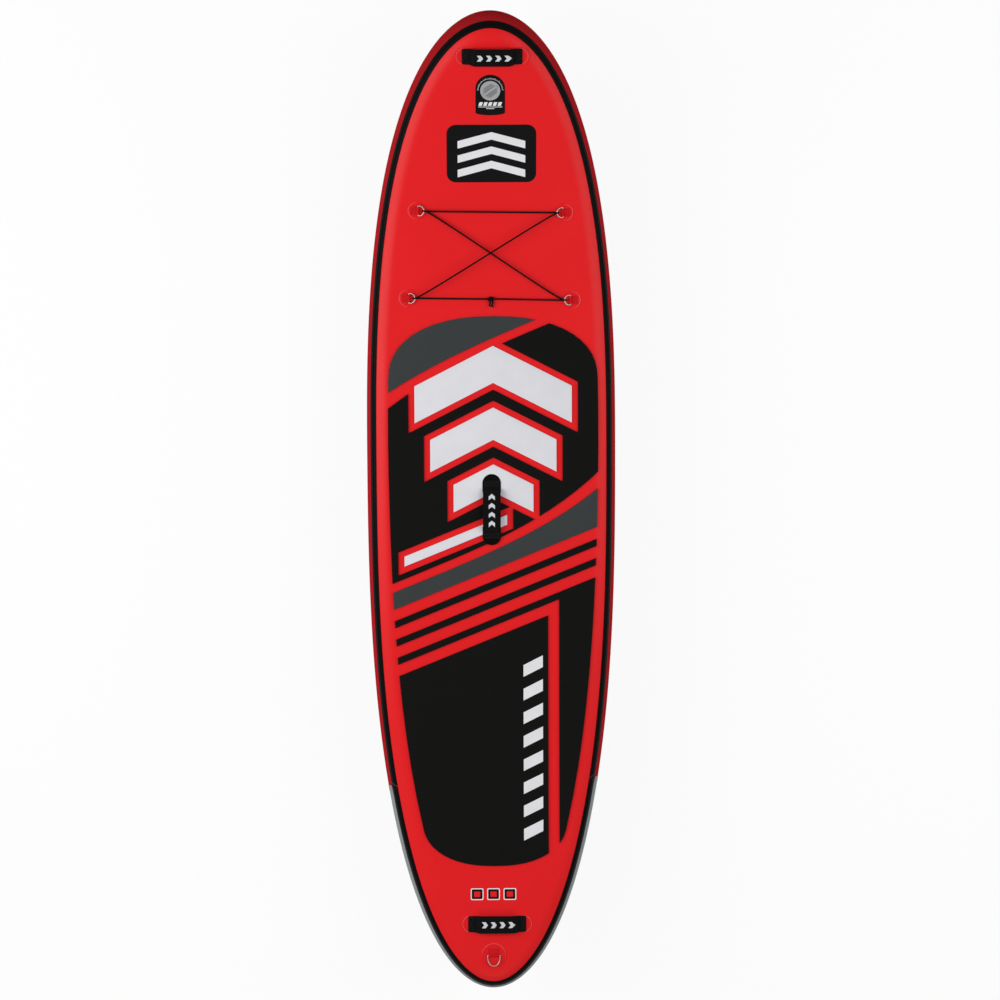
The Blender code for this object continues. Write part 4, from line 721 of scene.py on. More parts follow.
def make_hull():
    """Deck, bottom, side walls, the tapes on their seams and the lap where the walls meet."""
    LAID["deck"] = hull_sheet("deck", 1, RED_PVC, "deck_skin")
    hull_sheet("bottom", -1, GREY_PVC, "bottom_skin")
    joints = ((-1, "left", LEFT_JOINT), (1, "right", RIGHT_JOINT))
    front, tail = (rail_path(*(outline_k(place + way * SEAM_GAP / 2) for _, _, place in joints), way)
                   for way in (1, -1))
    edge = SEAM_ANGLE - SEAM_GAP / 2 / RAIL
    wall = spread(edge, -edge, 14)
    wall = wall, [RAIL] * len(wall), [RAIL - SKIN] * len(wall)
    top, low = tape_profile(1), tape_profile(-1)
    # The nose wall's darker red is painted shade on the same red PVC.
    add("side_wall_nose", loft(shell(front, *wall)), SHADE_PAINTED_RED_PVC, nodes=("side_wall_front",))
    # The stern wall's lighter grey is painted light on the grey PVC.
    add("side_wall_stern", loft(shell(tail, *wall)), LIGHT_PAINTED_GREY_PVC, nodes=("side_wall_tail",))
    add("rail_tape_nose", loft(shell(front, *top)), BLACK_TAPE, nodes=("rail_tape_front",))
    add("rail_tape_stern", loft(shell(tail, *top)), BLACK_TAPE, nodes=("rail_tape_tail",))
    whole = loft(shell(rail_path(-1.0, -1.0, 1)[:-1], *low), closed=True)
    add("bottom_tape", whole, BLACK_TAPE, nodes=("bottom_seam_tape",))
    half, over = TAPE_WIDTH / 2 / RAIL, RAIL + TAPE_LIFT + TAPE
    lap = ((-1, 0.0001), (-0.92, 0.0006), (0, 0.0007), (0.92, 0.0006), (1, 0.0001))
    angles = spread(edge * LAP_SHARE, -edge * LAP_SHARE, 12)
    count = len(angles)
    for side, label, joint in joints:
        bead = []
        for share in spread(-1, 1, 12):
            k = outline_k(joint + BEAD_AHEAD - BEAD_SLANT * share)
            bead.append(bent(*rail_point(side, k, SEAM_ANGLE + half * share, over)))
        add(f"tape_joint_bead_{label}", tube(bead, BEAD_RADIUS, 8), SEAM_BEAD, slot="rail_tape_front")
        rings = []
        for share, rise in lap:
            path = [(side, outline_k(joint + LAP_REACH * share))]
            rings += shell(path, angles, [RAIL + rise] * count, [RAIL - LAP_SINK] * count)
        # The lap takes the stern wall's lightened grey, a painted light.
        add(f"wall_lap_{label}", loft(rings), LIGHT_PAINTED_GREY_PVC, slot="side_wall_tail")


# Pads

PAD_EDGE = 0.0011
PADS = {
    "front_grey": GREY_FOAM, "grey_band": GREY_FOAM, "front_black": BLACK_FOAM,
    "stripe_front": BLACK_FOAM, "stripe_rear": BLACK_FOAM, "side": BLACK_FOAM, "rear": BLACK_FOAM,
    "chevron_large": WHITE_FOAM, "chevron_middle": WHITE_FOAM, "chevron_small": WHITE_FOAM,
    "white_bar": WHITE_FOAM,
}


def on_top(e):
    """Whether an edge is on the upper side of a pad."""
    low, y = min(v.co.z for v in e.verts), sum(v.co.y for v in e.verts) / 2
    return low > surface_height(y, RAIL + PAD_THICKNESS / 2)


def make_pads():
    """The foam pads, with rounded upper edges."""
    for kind, finish in PADS.items():
        name = f"pad_{kind}"
        LAID[name] = add(name + "_foam", from_node(name, PAD_EDGE, 3, on_top), finish, nodes=(name,))


# Carry handles

HANDLE_LENGTH = 0.191
ARCH_START = HANDLE_LENGTH / 2 - 0.020
HANDLE_SLOPE = 0.024
HANDLE_RISE = 0.016
STRAP_WIDTH = 0.054
STRAP = 0.002
STRAP_CORNER = 0.005
PATCH = 0.001
PATCH_EDGE = 0.00035
STRAP_LIFT = GAP + PATCH + GAP
GRIP_END = ARCH_START - 0.0095
GRIP_WIDTH = STRAP_WIDTH + 2 * (GAP + 0.0015)
GRIP_PAD = 0.003
GRIP_TAPER = 0.0016
GRIP_ROUNDING = 0.0022
HEM = 0.0068
HEM_WIDTH = 0.0010
HEM_DEPTH = 0.0011
HEM_WAIST = 0.0012
CROWN = 0.00025
CROWN_START = 0.010
HANDLE_PATCH = 0.060
PATCH_OVERHANG = 0.021
WEB_EDGE = 0.0008
WELD_INSET = 0.003
WELD_WIDTH = 0.0026
# how far the stitched box keeps from the strap's end and from the arch, and half its width
STITCHED_BOX = (0.004, 0.003, 0.0225)
# count, width of the row, height, thickness, how far the point stands out
SLEEVE_MARKS = (4, 0.116, 0.020, 0.0125, 0.0075)
# name, middle, lengthwise, level below, finish of the patches and of their welds (the red welds'
# lighter colour is a painted sheen), shift of the marks
HANDLES = (
    ("nose_handle", (0.006, NOSE_TIP - 0.1225), False, RAIL, RED_PATCH, WELD_PAINTED_SHEEN, 0.005),
    ("tail_handle", (0.0115, TAIL_TIP + 0.2255), False, RAIL, RED_PATCH, WELD_PAINTED_SHEEN, 0.003),
    ("centre_handle", (0.0, 0.0024), True, PAD_TOP, BLACK_TAPE, BLACK_TAPE, 0.0),
)


def strap_height(u):
    """Height of the strap's underside over what its patches lie on, at u from its middle."""
    return STRAP_LIFT + HANDLE_RISE * smooth_step((ARCH_START - abs(u)) / HANDLE_SLOPE)


def strap_normal(u):
    """Unit normal of the strap's curve."""
    step = 1e-4
    slope = (strap_height(u + step) - strap_height(u - step)) / (2 * step)
    size = hypot(1, slope)
    return -slope / size, 1 / size


def stitches(name, lines, place, finish, node_name, stitch=0.0036, gap=0.0014, radius=0.00042):
    """Thread along lines ((u, v), (u, v)); place(u, v, n) is a world point n over the cloth."""
    parts, share = [], stitch / (stitch + gap)
    for (u0, v0), (u1, v1) in lines:
        count = max(1, round(hypot(u1 - u0, v1 - v0) / (stitch + gap)))
        for i in range(count):
            points = []
            for t in (0.0, 0.12, 0.5, 0.88, 1.0):
                w = (i + (1 - share) / 2 + t * share) / count
                rise = radius * 0.55 * sin(pi * (0.04 + 0.92 * t)) - radius * 0.15
                points.append(place(u0 + (u1 - u0) * w, v0 + (v1 - v0) * w, rise))
            parts.append(tube(points, [radius * r for r in (0.5, 0.9, 1.0, 0.9, 0.5)], 6))
    return add(name, join(parts), finish, slot=node_name)


def box_cross(u0, u1, half):
    """Lines of a stitched box with a cross in it."""
    a, b, c, d = (u0, -half), (u1, -half), (u1, half), (u0, half)
    return [(a, b), (b, c), (c, d), (d, a), (a, c), (b, d)]


def patch_ring(near, far, side, inset=0.0):
    """Outline of a handle patch: straight near end, round far end, moved in by inset."""
    half = HANDLE_PATCH / 2
    radius = min(half, (far - near) * 0.9)
    middle = far - radius
    half, radius, near = half - inset, radius - inset, near + inset
    round_end = [(middle + radius * sin(a), -half * cos(a)) for a in spread(0, pi, 28)]
    return [(side * u, v) for u, v in [(near, -half), *round_end, (near, half)]]


def flat_band(path, width, low, thick):
    """A thin band along a flat path (x, s), low above the middle line; one width or a list."""
    rings = []
    section = ((-1, low), (1, low), (0.6, low + thick), (-0.6, low + thick))
    for i, (x, s) in enumerate(path):
        (xa, sa), (xb, sb) = beside(path, i)
        size = hypot(xb - xa, sb - sa) or 1.0
        half = (width[i] if isinstance(width, list) else width) / 2
        nx, ns = (sb - sa) / size * half, (xa - xb) / size * half
        rings.append([bent(x + nx * share, s + ns * share, h) for share, h in section])
    return loft(rings)


def chevron_row(count, width, height, thick, point):
    """Outlines of a centred row of arrow-like marks."""
    pitch, marks = width / count, []
    for i in range(count):
        a = -width / 2 + pitch * i + (pitch - thick - point) / 2
        b, h = a + thick, height / 2
        marks.append([(a, -h), (b, -h), (b + point, 0), (b, h), (a, h), (a + point, 0)])
    return marks


def grip_section(u):
    """Outline across the padded sleeve at u: a hem near each end, a slight crown between them."""
    left = GRIP_END - abs(u)
    end = min(1.0, left / GRIP_ROUNDING)
    hem = exp(-((left - HEM) / HEM_WIDTH) ** 2)
    crown = CROWN * smooth_step((left - CROWN_START) / CROWN_START)
    pad = GRIP_PAD * (0.45 + 0.55 * sqrt(max(0.0, 1 - (1 - end) ** 2))) - HEM_DEPTH * hem + crown
    width = GRIP_WIDTH - GRIP_TAPER * (1 - end) - HEM_WAIST * hem
    return round_box(width, -pad, STRAP + pad, (STRAP / 2 + pad) * 0.80)


def make_handle(name, middle, lengthwise, base, patch_finish, weld_finish, marks_shift):
    """Strap, padded sleeve, stitching, woven marks and two patches; base is the level they lie on."""
    def flat(points):
        """Flat places of points (u, v): u along the handle, v across it."""
        return moved([(v, u) if lengthwise else (u, v) for u, v in points], *middle)

    def over(u, v, n):
        """World place at u along the strap, v across it and n above its underside."""
        nu, nh = strap_normal(u)
        return bent(*flat([(u + nu * n, v)])[0], base + strap_height(u) + nh * n)

    strap, grip, half, corner = f"{name}_strap", f"{name}_grip", HANDLE_LENGTH / 2, STRAP_CORNER
    ends = [half - corner * (1 - sin(a)) for a in spread(0, pi / 2, 6)]
    rings = []
    for u in [-u for u in reversed(ends)] + spread(-half + corner, half - corner, 70)[1:-1] + ends:
        near = max(0.0, abs(u) - half + corner)
        width = STRAP_WIDTH - 2 * (corner - sqrt(max(0.0, corner**2 - near**2)))
        rings.append([over(u, v, n) for v, n in round_box(width, 0.0, STRAP, WEB_EDGE)])
    add(strap + "_web", loft(rings), WEBBING, nodes=(strap,))

    hole = round_box(STRAP_WIDTH + 2 * GAP, -GAP, STRAP + GAP, WEB_EDGE)
    along = spread(-GRIP_END, GRIP_END, 56)
    rings = [[over(u, v, n) for v, n in grip_section(u)] for u in along]
    rings += [[over(u, v, n) for v, n in hole] for u in reversed(along)]
    sleeve = add(grip + "_sleeve", loft(rings, closed=True), SLEEVE, nodes=(grip,), sharp=50)

    lines, hems = [], []
    from_end, from_arch, box_half = STITCHED_BOX
    hem, hem_half = GRIP_END - HEM, 0.023
    for side in (-1, 1):
        lines += box_cross(side * (half - from_end), side * (ARCH_START + from_arch), box_half)
        hems.append(((side * hem, -hem_half), (side * hem, hem_half)))
    hem_top, marks_top = STRAP + GRIP_PAD - 0.0008, STRAP + GRIP_PAD + 0.0002
    stitches(strap + "_thread", lines, lambda u, v, n: over(u, v, STRAP + n), THREAD, strap)
    stitches(grip + "_thread", hems, lambda u, v, n: over(u, v, hem_top + n), THREAD, grip)
    marks = join([plate(mark, marks_top, 0.00035) for mark in chevron_row(*SLEEVE_MARKS)])
    bmesh.ops.translate(marks, verts=marks.verts[:], vec=(marks_shift, 0, 0))
    add(grip + "_marks", lay(marks, 0.004, over, 0), LIGHT_WEAVE, slot=grip)

    far = half + PATCH_OVERHANG
    for side, label in zip((-1, 1), ("rear", "front") if lengthwise else ("left", "right")):
        node, ends = f"{name}_patch_{label}", (far - HANDLE_PATCH, far, side)
        disc = lay(plate(flat(patch_ring(*ends)), base + GAP, PATCH, PATCH_EDGE))
        add(f"{node}_disc", disc, patch_finish, nodes=(node,))
        # The weld band's relief is real; on the nose and tail handles its lighter red is a painted
        # sheen.
        path = flat(patch_ring(*ends, WELD_INSET))[1:-1]
        weld = flat_band(path, WELD_WIDTH, base + GAP + PATCH - 0.0001, 0.0006)
        add(f"{node}_weld", weld, weld_finish, slot=node)


# Rings

WIRE = 0.0035
RING_CORNER = 0.0025
LOOP_WEB = 0.0016
LOOP_NEAR_FOOT = 0.0055
LOOP_FAR_FOOT = 0.022
LOOP_BEND = 0.0022
# start and end of the stitched box on the loop's far foot, and its margin at the sides
LOOP_BOX = (-0.0202, -0.0076, 0.0022)
# width, depth, tilt, patch, how far the patch sits back
CARGO_RING = (0.035, 0.0235, radians(15.0), 0.060, 0.0045)
LEASH_RING = (0.0445, 0.038, radians(2.0), 0.084, 0.0)
CARGO_RING_INSET = 0.1285
RING_SHIFTS = {("front", "left"): (0.0, 0.008), ("rear", "right"): (-0.0065, -0.008)}
CARGO_RINGS = {}


def ring_path(width, depth):
    """Middle line of a D-shaped ring: the bar on Y through the origin, the bow towards +X."""
    half, reach = (width - WIRE) / 2, depth - WIRE
    bar = half - RING_CORNER
    corner = [(RING_CORNER * (1 - sin(a)), bar + RING_CORNER * cos(a)) for a in spread(pi / 2, 0, 8)]
    bow = [(RING_CORNER + (reach - RING_CORNER) * sin(a) ** 0.8, half * cos(a))
           for a in spread(0, pi, 48)[1:-1]]
    lower = [(x, -y) for x, y in reversed(corner)]
    return [Vector((x, y, 0)) for x, y in corner + bow + lower]


def loop_path():
    """Middle line of the webbing loop in the frame of the ring, from foot to foot over the bar."""
    radius, bend = WIRE / 2 + GAP + LOOP_WEB / 2, LOOP_BEND
    low = 0.0001 - radius
    over = [Vector((radius * cos(a), 0, radius * sin(a))) for a in spread(-0.25, pi + 0.25, 20)]
    side = [Vector((radius + bend + 0.0002 - bend * sin(a), 0, low - bend * (cos(a) - 1)))
            for a in spread(0, pi / 2.2, 5)]
    left = [Vector((-v.x, 0, v.z)) for v in reversed(side)]
    return [Vector((LOOP_NEAR_FOOT, 0, low)), *side, *over, *left, Vector((-LOOP_FAR_FOOT, 0, low))]


def web_loft(path, width, thick, matrix):
    """Webbing along a path in the frame's XZ plane."""
    ring = round_box(width, -thick / 2, thick / 2, thick * 0.4, 2)
    rings = []
    for i, point in enumerate(path):
        before, after = beside(path, i)
        way = (after - before).normalized()
        up = Vector((-way.z, 0, way.x))
        rings.append([matrix @ (point + Vector((0, v, 0)) + up * n) for v, n in ring])
    return loft(rings)


def make_ring(name, x, s, heading, size):
    """A steel ring with its round patch and the webbing loop over its bar; returns its frame."""
    width, depth, tilt, patch, back = size
    ring, disc_node = f"{name}_ring", f"{name}_patch"
    flat = surface_frame(x, s, RAIL) @ Matrix.Rotation(heading, 4, "Z")
    flat.translation = Vector(JOINTS[ring + "_swing"]["pos_m"])
    tilted = flat @ Matrix.Rotation(-tilt, 4, "Y")
    wire = tube([tilted @ point for point in ring_path(width, depth)], WIRE / 2, 18, closed=True)
    add(ring + "_wire", wire, STEEL, ring, nodes=(ring,), sharp=60)
    middle = x - back * cos(heading), s - back * sin(heading)
    disc = lay(plate(circle(middle, patch / 2, 72), DECK, PATCH, PATCH_EDGE))
    add(disc_node + "_disc", disc, RED_PATCH, nodes=(disc_node,))
    # Weld arc on the patch's outboard side: real relief, its lighter red a painted sheen.
    outboard, reach = heading + pi, 1.7
    path = arc(middle, patch / 2 - WELD_INSET, outboard - reach, outboard + reach, 48)
    widths = [WELD_WIDTH * (1 - abs(share) ** 3) + 0.0003 for share in spread(-1, 1, 48)]
    weld = flat_band(path, widths, DECK + PATCH - 0.0001, 0.0005)
    add(disc_node + "_weld", weld, WELD_PAINTED_SHEEN, slot=disc_node)
    top = -WIRE / 2 - GAP
    under = [Vector((u, 0, top - LOOP_WEB + 0.0002))
             for u in spread(0.0004 - LOOP_FAR_FOOT, LOOP_NEAR_FOOT - 0.0004, 6)]
    loop = width - WIRE - 2 * RING_CORNER - 2 * GAP
    web = join([web_loft(loop_path(), loop, LOOP_WEB * 0.9, flat),
                web_loft(under, loop, LOOP_WEB / 2, flat)])
    add(disc_node + "_loop", web, RED_WEBBING, slot=disc_node, sharp=50)
    start, end, margin = LOOP_BOX
    stitches(disc_node + "_thread", box_cross(start, end, loop / 2 - margin),
             lambda u, v, n: flat @ Vector((u, v, top + 0.0001 + n)), RED_THREAD, disc_node,
             stitch=0.0026, gap=0.0010, radius=0.00035)
    return tilted


def make_rings():
    """Four rings for the cargo cord and the leash ring at the tail."""
    for row, s in (("front", FRONT_RING_PLACE), ("rear", REAR_RING_PLACE)):
        x = half_width(s) - CARGO_RING_INSET
        for side, label, heading in ((-1, "left", 0.0), (1, "right", pi)):
            across, along = RING_SHIFTS.get((row, label), (0.0, 0.0))
            CARGO_RINGS[row, label] = make_ring(
                f"cargo_{row}_{label}", side * x + across, s + along, heading, CARGO_RING)
    make_ring("leash", 0.0, LEASH_PLACE, -pi / 2, LEASH_RING)


# Cargo cord

CORD = 0.0055
KNOT_LENGTH = 0.024
KNOT_SOCKET = 0.007
KNOT_HEIGHT = 0.0095
KNOT_BACK = 0.004
CORD_TAIL = 0.0225
# shares along a stretch where it has points, up to its middle, and the same again from its end
NEAR_END = (0.01, 0.02, 0.035, 0.06, 0.09, 0.115, 0.14, 0.165, 0.19, 0.22, 0.25, 0.29, 0.34, 0.42)


def cord_turn(place, over_first):
    """The cord's half turn round a ring's bow, from under it to over it or the other way."""
    reach = WIRE / 2 + CORD / 2 + 2 * GAP
    tip = CARGO_RING[1] - WIRE
    turn = [place @ Vector((tip - reach * sin(a), 0, -reach * cos(a))) for a in spread(0, pi, 16)]
    return turn[::-1] if over_first else turn


def cord_leg(before, after):
    """Points of a taut stretch between two rows of points, whose directions it takes up."""
    start, end, pull = before[-1], after[0], CORD * 12
    leaving, arriving = (before[-1] - before[-2]).normalized(), (after[1] - after[0]).normalized()
    points = []
    for t in (*NEAR_END, 0.5, *(1 - t for t in reversed(NEAR_END))):
        swing = leaving * pull * t * (1 - t) ** 2 + arriving * pull * t * t * (t - 1)
        points.append(start.lerp(end, 3 * t * t - 2 * t**3) + swing)
    return points


def make_cord():
    """One shock cord through the four rings, in a stretch for each ring, and tied at the rear."""
    knot = bent(0.0, REAR_RING_PLACE - KNOT_BACK, RAIL + KNOT_HEIGHT)
    order = (("rear", "left", False), ("front", "right", True),
             ("front", "left", True), ("rear", "right", False))
    turns = [cord_turn(CARGO_RINGS[row, side], first) for row, side, first in order]
    out = Vector((KNOT_LENGTH / 2 - KNOT_SOCKET + GAP, 0, 0))
    stub = Vector((KNOT_SOCKET + CORD / 2, 0, 0))
    stops = [[knot - out, knot - out - stub], *turns, [knot + out + stub, knot + out]]
    legs = [cord_leg(before, after) for before, after in zip(stops, stops[1:])]
    middle = len(legs[0]) // 2
    for i, (row, side, _) in enumerate(order):
        points = (stops[0] + legs[0] if i == 0 else legs[i][middle:]) + turns[i]
        points += legs[4] + stops[-1] if i == 3 else legs[i + 1][:middle + 1]
        cord = add(f"cargo_cord_{row}_{side}", tube(points, CORD / 2, 14), CORD_COVER, None,
                   nodes=("cargo_cord",), sharp=60)
        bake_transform(cord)
    make_knot(knot)


def make_knot(middle):
    """A knot of three turns of cord round the joined ends, with two short tails and light tips."""
    turns, radius, half, steps = 3, 0.0055, 0.0072, 96
    coil = []
    for t in spread(0, 1, steps):
        a = 2 * pi * turns * t + pi / 2
        reach = radius * (0.15 + 0.85 * sin(pi / 2 * min(1.0, 10 * t, 10 * (1 - t))))
        coil.append(middle + Vector((-half + 2 * half * t, reach * cos(a), reach * sin(a))))
    end = KNOT_LENGTH / 2 - 0.001
    core = [middle + Vector((u, 0, 0)) for u in spread(-end, end, 8)]
    swell = [0.00325, 0.003875, 0.0045, 0.0050, 0.005125, 0.0050, 0.0045, 0.003875, 0.00325]
    parts, tips = [tube(coil, CORD / 2, 12), tube(core, swell, 16)], []
    for turn, side in ((-0.22, -1), (-0.14, 1)):
        way = Matrix.Rotation(turn, 3, "Z") @ Vector((0, -1, -0.12)).normalized()
        start = middle + Vector((0.004 + side * 0.0031, 0, 0))
        length = CORD_TAIL + 0.0085 + 0.0015 * side
        points = [start + way * (length * t - 0.002)
                  + Vector((side * 0.0006 * sin(pi * t), 0, -0.0016 * t * t))
                  for t in spread(0, 1, 18)]
        parts.append(tube(points[:-2], CORD / 2 - 0.0001, 14))
        tips.append(tube(points[-3:], [0.0028, 0.0028, 0.0024], 16))
    add("cargo_cord_knot_turns", join(parts), CORD_COVER, nodes=("cargo_cord_knot",), sharp=60)
    add("cargo_cord_knot_tips", join(tips), LIGHT_TIP, slot="cargo_cord_knot", sharp=60)


# Air valve

VALVE_BORE = 0.028
BADGE = 0.0004
VALVE_RIM_TOP = GAP + BADGE + 0.0006 + 0.003
CAP = 0.064
CAP_THICKNESS = 0.004
CAP_RIDGE = 0.004
CAP_RIDGE_WIDTH = 0.008
CAP_SKIRT = 0.005
CAP_TURN = radians(35.0)
CAP_FLUTES = 36
FLUTE_DEPTH = 0.0007
BADGE_WIDTH = 0.0935
BADGE_LENGTH = 0.1365


def valve_frame():
    """Frame of the valve, on the joint of its cap."""
    place = surface_frame(0.0, VALVE_PLACE, RAIL)
    place.translation = Vector(JOINTS["valve_cap_turn"]["pos_m"])
    return place


def make_badge():
    """Black badge under the valve, with ticks round its arch and plain bars below."""
    half, reach = BADGE_WIDTH / 2, BADGE_LENGTH / 2
    sag = half * 0.2
    outline = arc((0.0, BADGE_PLACE + reach - half), half, 0, pi, 48)
    outline += [(half * cos(a), BADGE_PLACE - reach + sag + sag * sin(a))
                for a in spread(pi, 2 * pi, 24)]
    hole = circle((0.0, VALVE_PLACE), VALVE_HOLE / 2, 64)
    add("valve_badge_plate", lay(plate(outline, DECK, BADGE, holes=[hole])), BLACK_PRINT,
        nodes=("valve_badge",))
    marks = []
    inner, outer, ticks, cut, tick_half = 0.0370, 0.0422, 33, 0.0018, 0.00065
    for i in range(ticks):
        a = radians(2 + 176 * i / (ticks - 1))
        end, turn = outer if i % 4 == 0 else outer - cut, tick_half / inner
        marks.append([(r * cos(a + da), r * sin(a + da))
                      for r, da in ((inner, -turn), (end, -turn), (end, turn), (inner, turn))])
    count, width, height, share = 5, 0.076, 0.0125, 0.70
    pitch = width / count
    for i in range(count):
        left = -width / 2 + pitch * (i + (1 - share) / 2)
        bar = slanted(left, left + pitch * share, -height / 2, height / 2, height * 0.175)
        marks.append(moved(bar, 0.0, -0.0465))
    for place, width in ((-0.0565, 0.076), (-0.0620, 0.026)):
        marks.append(slanted(-width / 2, width / 2, place - 0.001, place + 0.001))
    marks = [moved(mark, 0.0, VALVE_PLACE) for mark in marks]
    add("valve_badge_marks", printed(marks, DECK + BADGE + 0.00002, 0.00012, 0.02), WHITE_PRINT,
        slot="valve_badge")


def rib(place, y, reach, half, height, base):
    """A rib along X of the frame, with round ends."""
    rings = []
    for x in spread(-reach, reach, 24):
        end = sqrt(max(0.0, 1 - max(0.0, (abs(x) - reach + half) / half) ** 2))
        rise = height * (0.25 + 0.75 * end)
        w = half * (0.45 + 0.55 * end)
        section = ((-w, 0), (w, 0), (w * 0.86, rise * 0.7), (w * 0.55, rise), (-w * 0.55, rise),
                   (-w * 0.86, rise * 0.7))
        rings.append([place @ Vector((x, y + v, base + n)) for v, n in section])
    return loft(rings)


def make_cap():
    """Turning cap: fluted edge, raised rim, slanted grip ridge and low ribs beside it, with dark
    strips between them as painted shade of recesses.
    """
    place, outer = valve_frame(), CAP / 2
    low = VALVE_RIM_TOP + GAP
    top = low + CAP_THICKNESS
    skirt, wall = VALVE_BORE / 2 - GAP, CAP_THICKNESS / 2
    face = [(0.0, top - 0.0006), (outer - 0.0078, top - 0.0006), (outer - 0.0070, top - 0.0004),
            (outer - 0.0064, top), (outer - 0.0026, top), (outer - 0.0016, top - 0.0002)]
    inside = [(skirt, low), (skirt, low - CAP_SKIRT + 0.0004), (skirt - 0.0004, low - CAP_SKIRT),
              (skirt - wall, low - CAP_SKIRT), (skirt - wall, low + wall / 2), (0.0, low + wall / 2)]
    rings = []
    for a in spread(0, 2 * pi, 8 * CAP_FLUTES)[:-1]:
        r = outer - FLUTE_DEPTH * max(0.0, cos(a * CAP_FLUTES)) ** 0.6
        rim = [(r - 0.0005, top - 0.0008), (r, top - 0.0016), (r, low + 0.0004), (r - 0.0004, low)]
        rings.append([place @ polar(q, a, z) for q, z in face + rim + inside])
    slant = place @ Matrix.Rotation(CAP_TURN, 4, "Z")

    def ribs(places, inset, half, height):
        """Ribs on both sides of the ridge, as long as the raised rim allows."""
        return [rib(slant, side * y, sqrt((outer - inset) ** 2 - y * y), half, height, top - 0.0007)
                for y in places for side in (1, -1)]

    ridge = rib(slant, 0.0, CAP * 0.42, CAP_RIDGE_WIDTH / 2, CAP_RIDGE + 0.0006, top - 0.0006)
    raised = ribs((0.0080, 0.0115, 0.0150, 0.0185), 0.0095, 0.0009, 0.0008)
    add("valve_cap_disc", join([loft(rings, closed=True), ridge] + raised), SILVER, "valve_cap",
        nodes=("valve_cap",), sharp=40)
    # Dark strips beside the ridge and between the ribs: painted shade that stands in for the shadows
    # in moulded recesses.
    groove_relief_and_shade = join(ribs((0.0059, 0.0098, 0.0132, 0.0167), 0.0090, 0.0007, 0.00025))
    add("valve_cap_groove_shade", groove_relief_and_shade, DARK_PLASTIC, "valve_cap", slot="valve_cap", sharp=40)


def make_spring():
    """The spring that shuts the valve, drawn at rest; the real one shortens while the plunger is
    pushed.
    """
    place = valve_frame()
    low, high, radius, wire, turns, steps = -0.0307, -0.0141, 0.0047, 0.0006, 5, 240
    points = [place @ polar(radius, 2 * pi * turns * t, low + wire + (high - low - 2 * wire) * t)
              for t in spread(0, 1, steps)]
    spring = add("valve_spring_coil", tube(points, wire, 10), STEEL, nodes=("valve_spring",),
                 sharp=60)
    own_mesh(spring)


# Prints

PRINT_LIFT = 0.0001
PANEL_THICKNESS = 0.0002
PRINT = 0.00015
DASHES = 8
DASHES_FIRST = -0.478
DASHES_LAST = -1.107
DASH_EDGES = (0.1015, 0.1650)
DASH_LEAN = 0.016
DASH_SHARE = 0.70
FRAMES_PITCH = 0.054
PANEL_SHIFT = 0.0035
# width, half length, radius of the corners
PANEL = (0.286, 0.0965, 0.030)


def make_prints():
    """A black panel with chevrons near the nose, outlined frames near the tail, dashes on a pad."""
    deck, (width, reach, edge) = onto(LAID["deck"], RAIL), PANEL
    panel = moved(round_box(width, -reach, reach, edge, 8), PANEL_SHIFT, PANEL_PLACE)
    add("nose_panel", lay(plate(panel, PRINT_LIFT, PANEL_THICKNESS), 0.01, deck), BLACK_PRINT,
        slot="deck_skin")
    half, depth, rise = 0.108, 0.025, 0.030
    chevron = [(-half, -rise), (0, 0), (half, -rise),
               (half, -rise - depth), (0, -depth), (-half, -rise - depth)]
    chevrons = [moved(chevron, PANEL_SHIFT, PANEL_PLACE + top) for top in (0.0715, 0.0235, -0.0245)]
    add("nose_panel_chevrons", printed(chevrons, PRINT_LIFT + PANEL_THICKNESS, PRINT, place=deck),
        WHITE_PRINT, slot="deck_skin")

    def boxes(width, reach, edge):
        """A row of three boxes near the tail."""
        box = round_box(width, -reach, reach, edge, 4)
        return [moved(box, x, FRAMES_PLACE) for x in (-FRAMES_PITCH, 0.0, FRAMES_PITCH)]

    for name, finish, outer, inner in (
        ("white", WHITE_PRINT, (0.042, 0.0195, 0.005), (0.0356, 0.0163, 0.003)),
        ("black", BLACK_PRINT, (0.0348, 0.0159, 0.003), (0.021, 0.0090, 0.002)),
    ):
        holes = [[ring] for ring in boxes(*inner)]
        bars = printed(boxes(*outer), PRINT_LIFT, PRINT, place=deck, holes=holes)
        add(f"tail_bars_{name}", bars, finish, slot="deck_skin")

    pitch, (left, right), lean = (DASHES_FIRST - DASHES_LAST) / DASHES, DASH_EDGES, DASH_LEAN
    dashes = []
    for i in range(DASHES):
        s = DASHES_FIRST - pitch * i
        low = s - pitch * DASH_SHARE
        dashes.append([(left, low - lean), (right, low + lean), (right, s), (left, s - 2 * lean)])
    place = onto(LAID["pad_rear"], PAD_TOP)
    add("pad_rear_dashes", printed(dashes, 0.00005, PRINT, place=place), WHITE_PRINT, slot="pad_rear")


# Fins

# depth, chord, chord at the tip, how far the front edge sweeps back
CENTRE_FIN = (0.200, 0.165, 0.050, 0.115)
SIDE_FIN = (0.110, 0.120, 0.030, 0.075)
FIN_BOX_BASE = 0.002
FIN_BOX_HEIGHT = 0.024
SLOT_LENGTH = 0.226
FIN_TRAVEL = 0.030
FIN_LUG_LENGTH = 0.021
SIDE_BASE = 0.003
FIN_ROOT = -GAP - FIN_BOX_BASE - FIN_BOX_HEIGHT - GAP
FIN_FORWARD = SLOT_LENGTH / 2 - FIN_TRAVEL - GAP - FIN_LUG_LENGTH - CENTRE_FIN[1] / 2
SIDE_FIN_ROOT = -2 * GAP - SIDE_BASE
SIDE_FIN_INSET = 0.135
FIN_THICKNESS = 0.0080
SIDE_FIN_THICKNESS = 0.006
FIN_EDGE = 0.0016


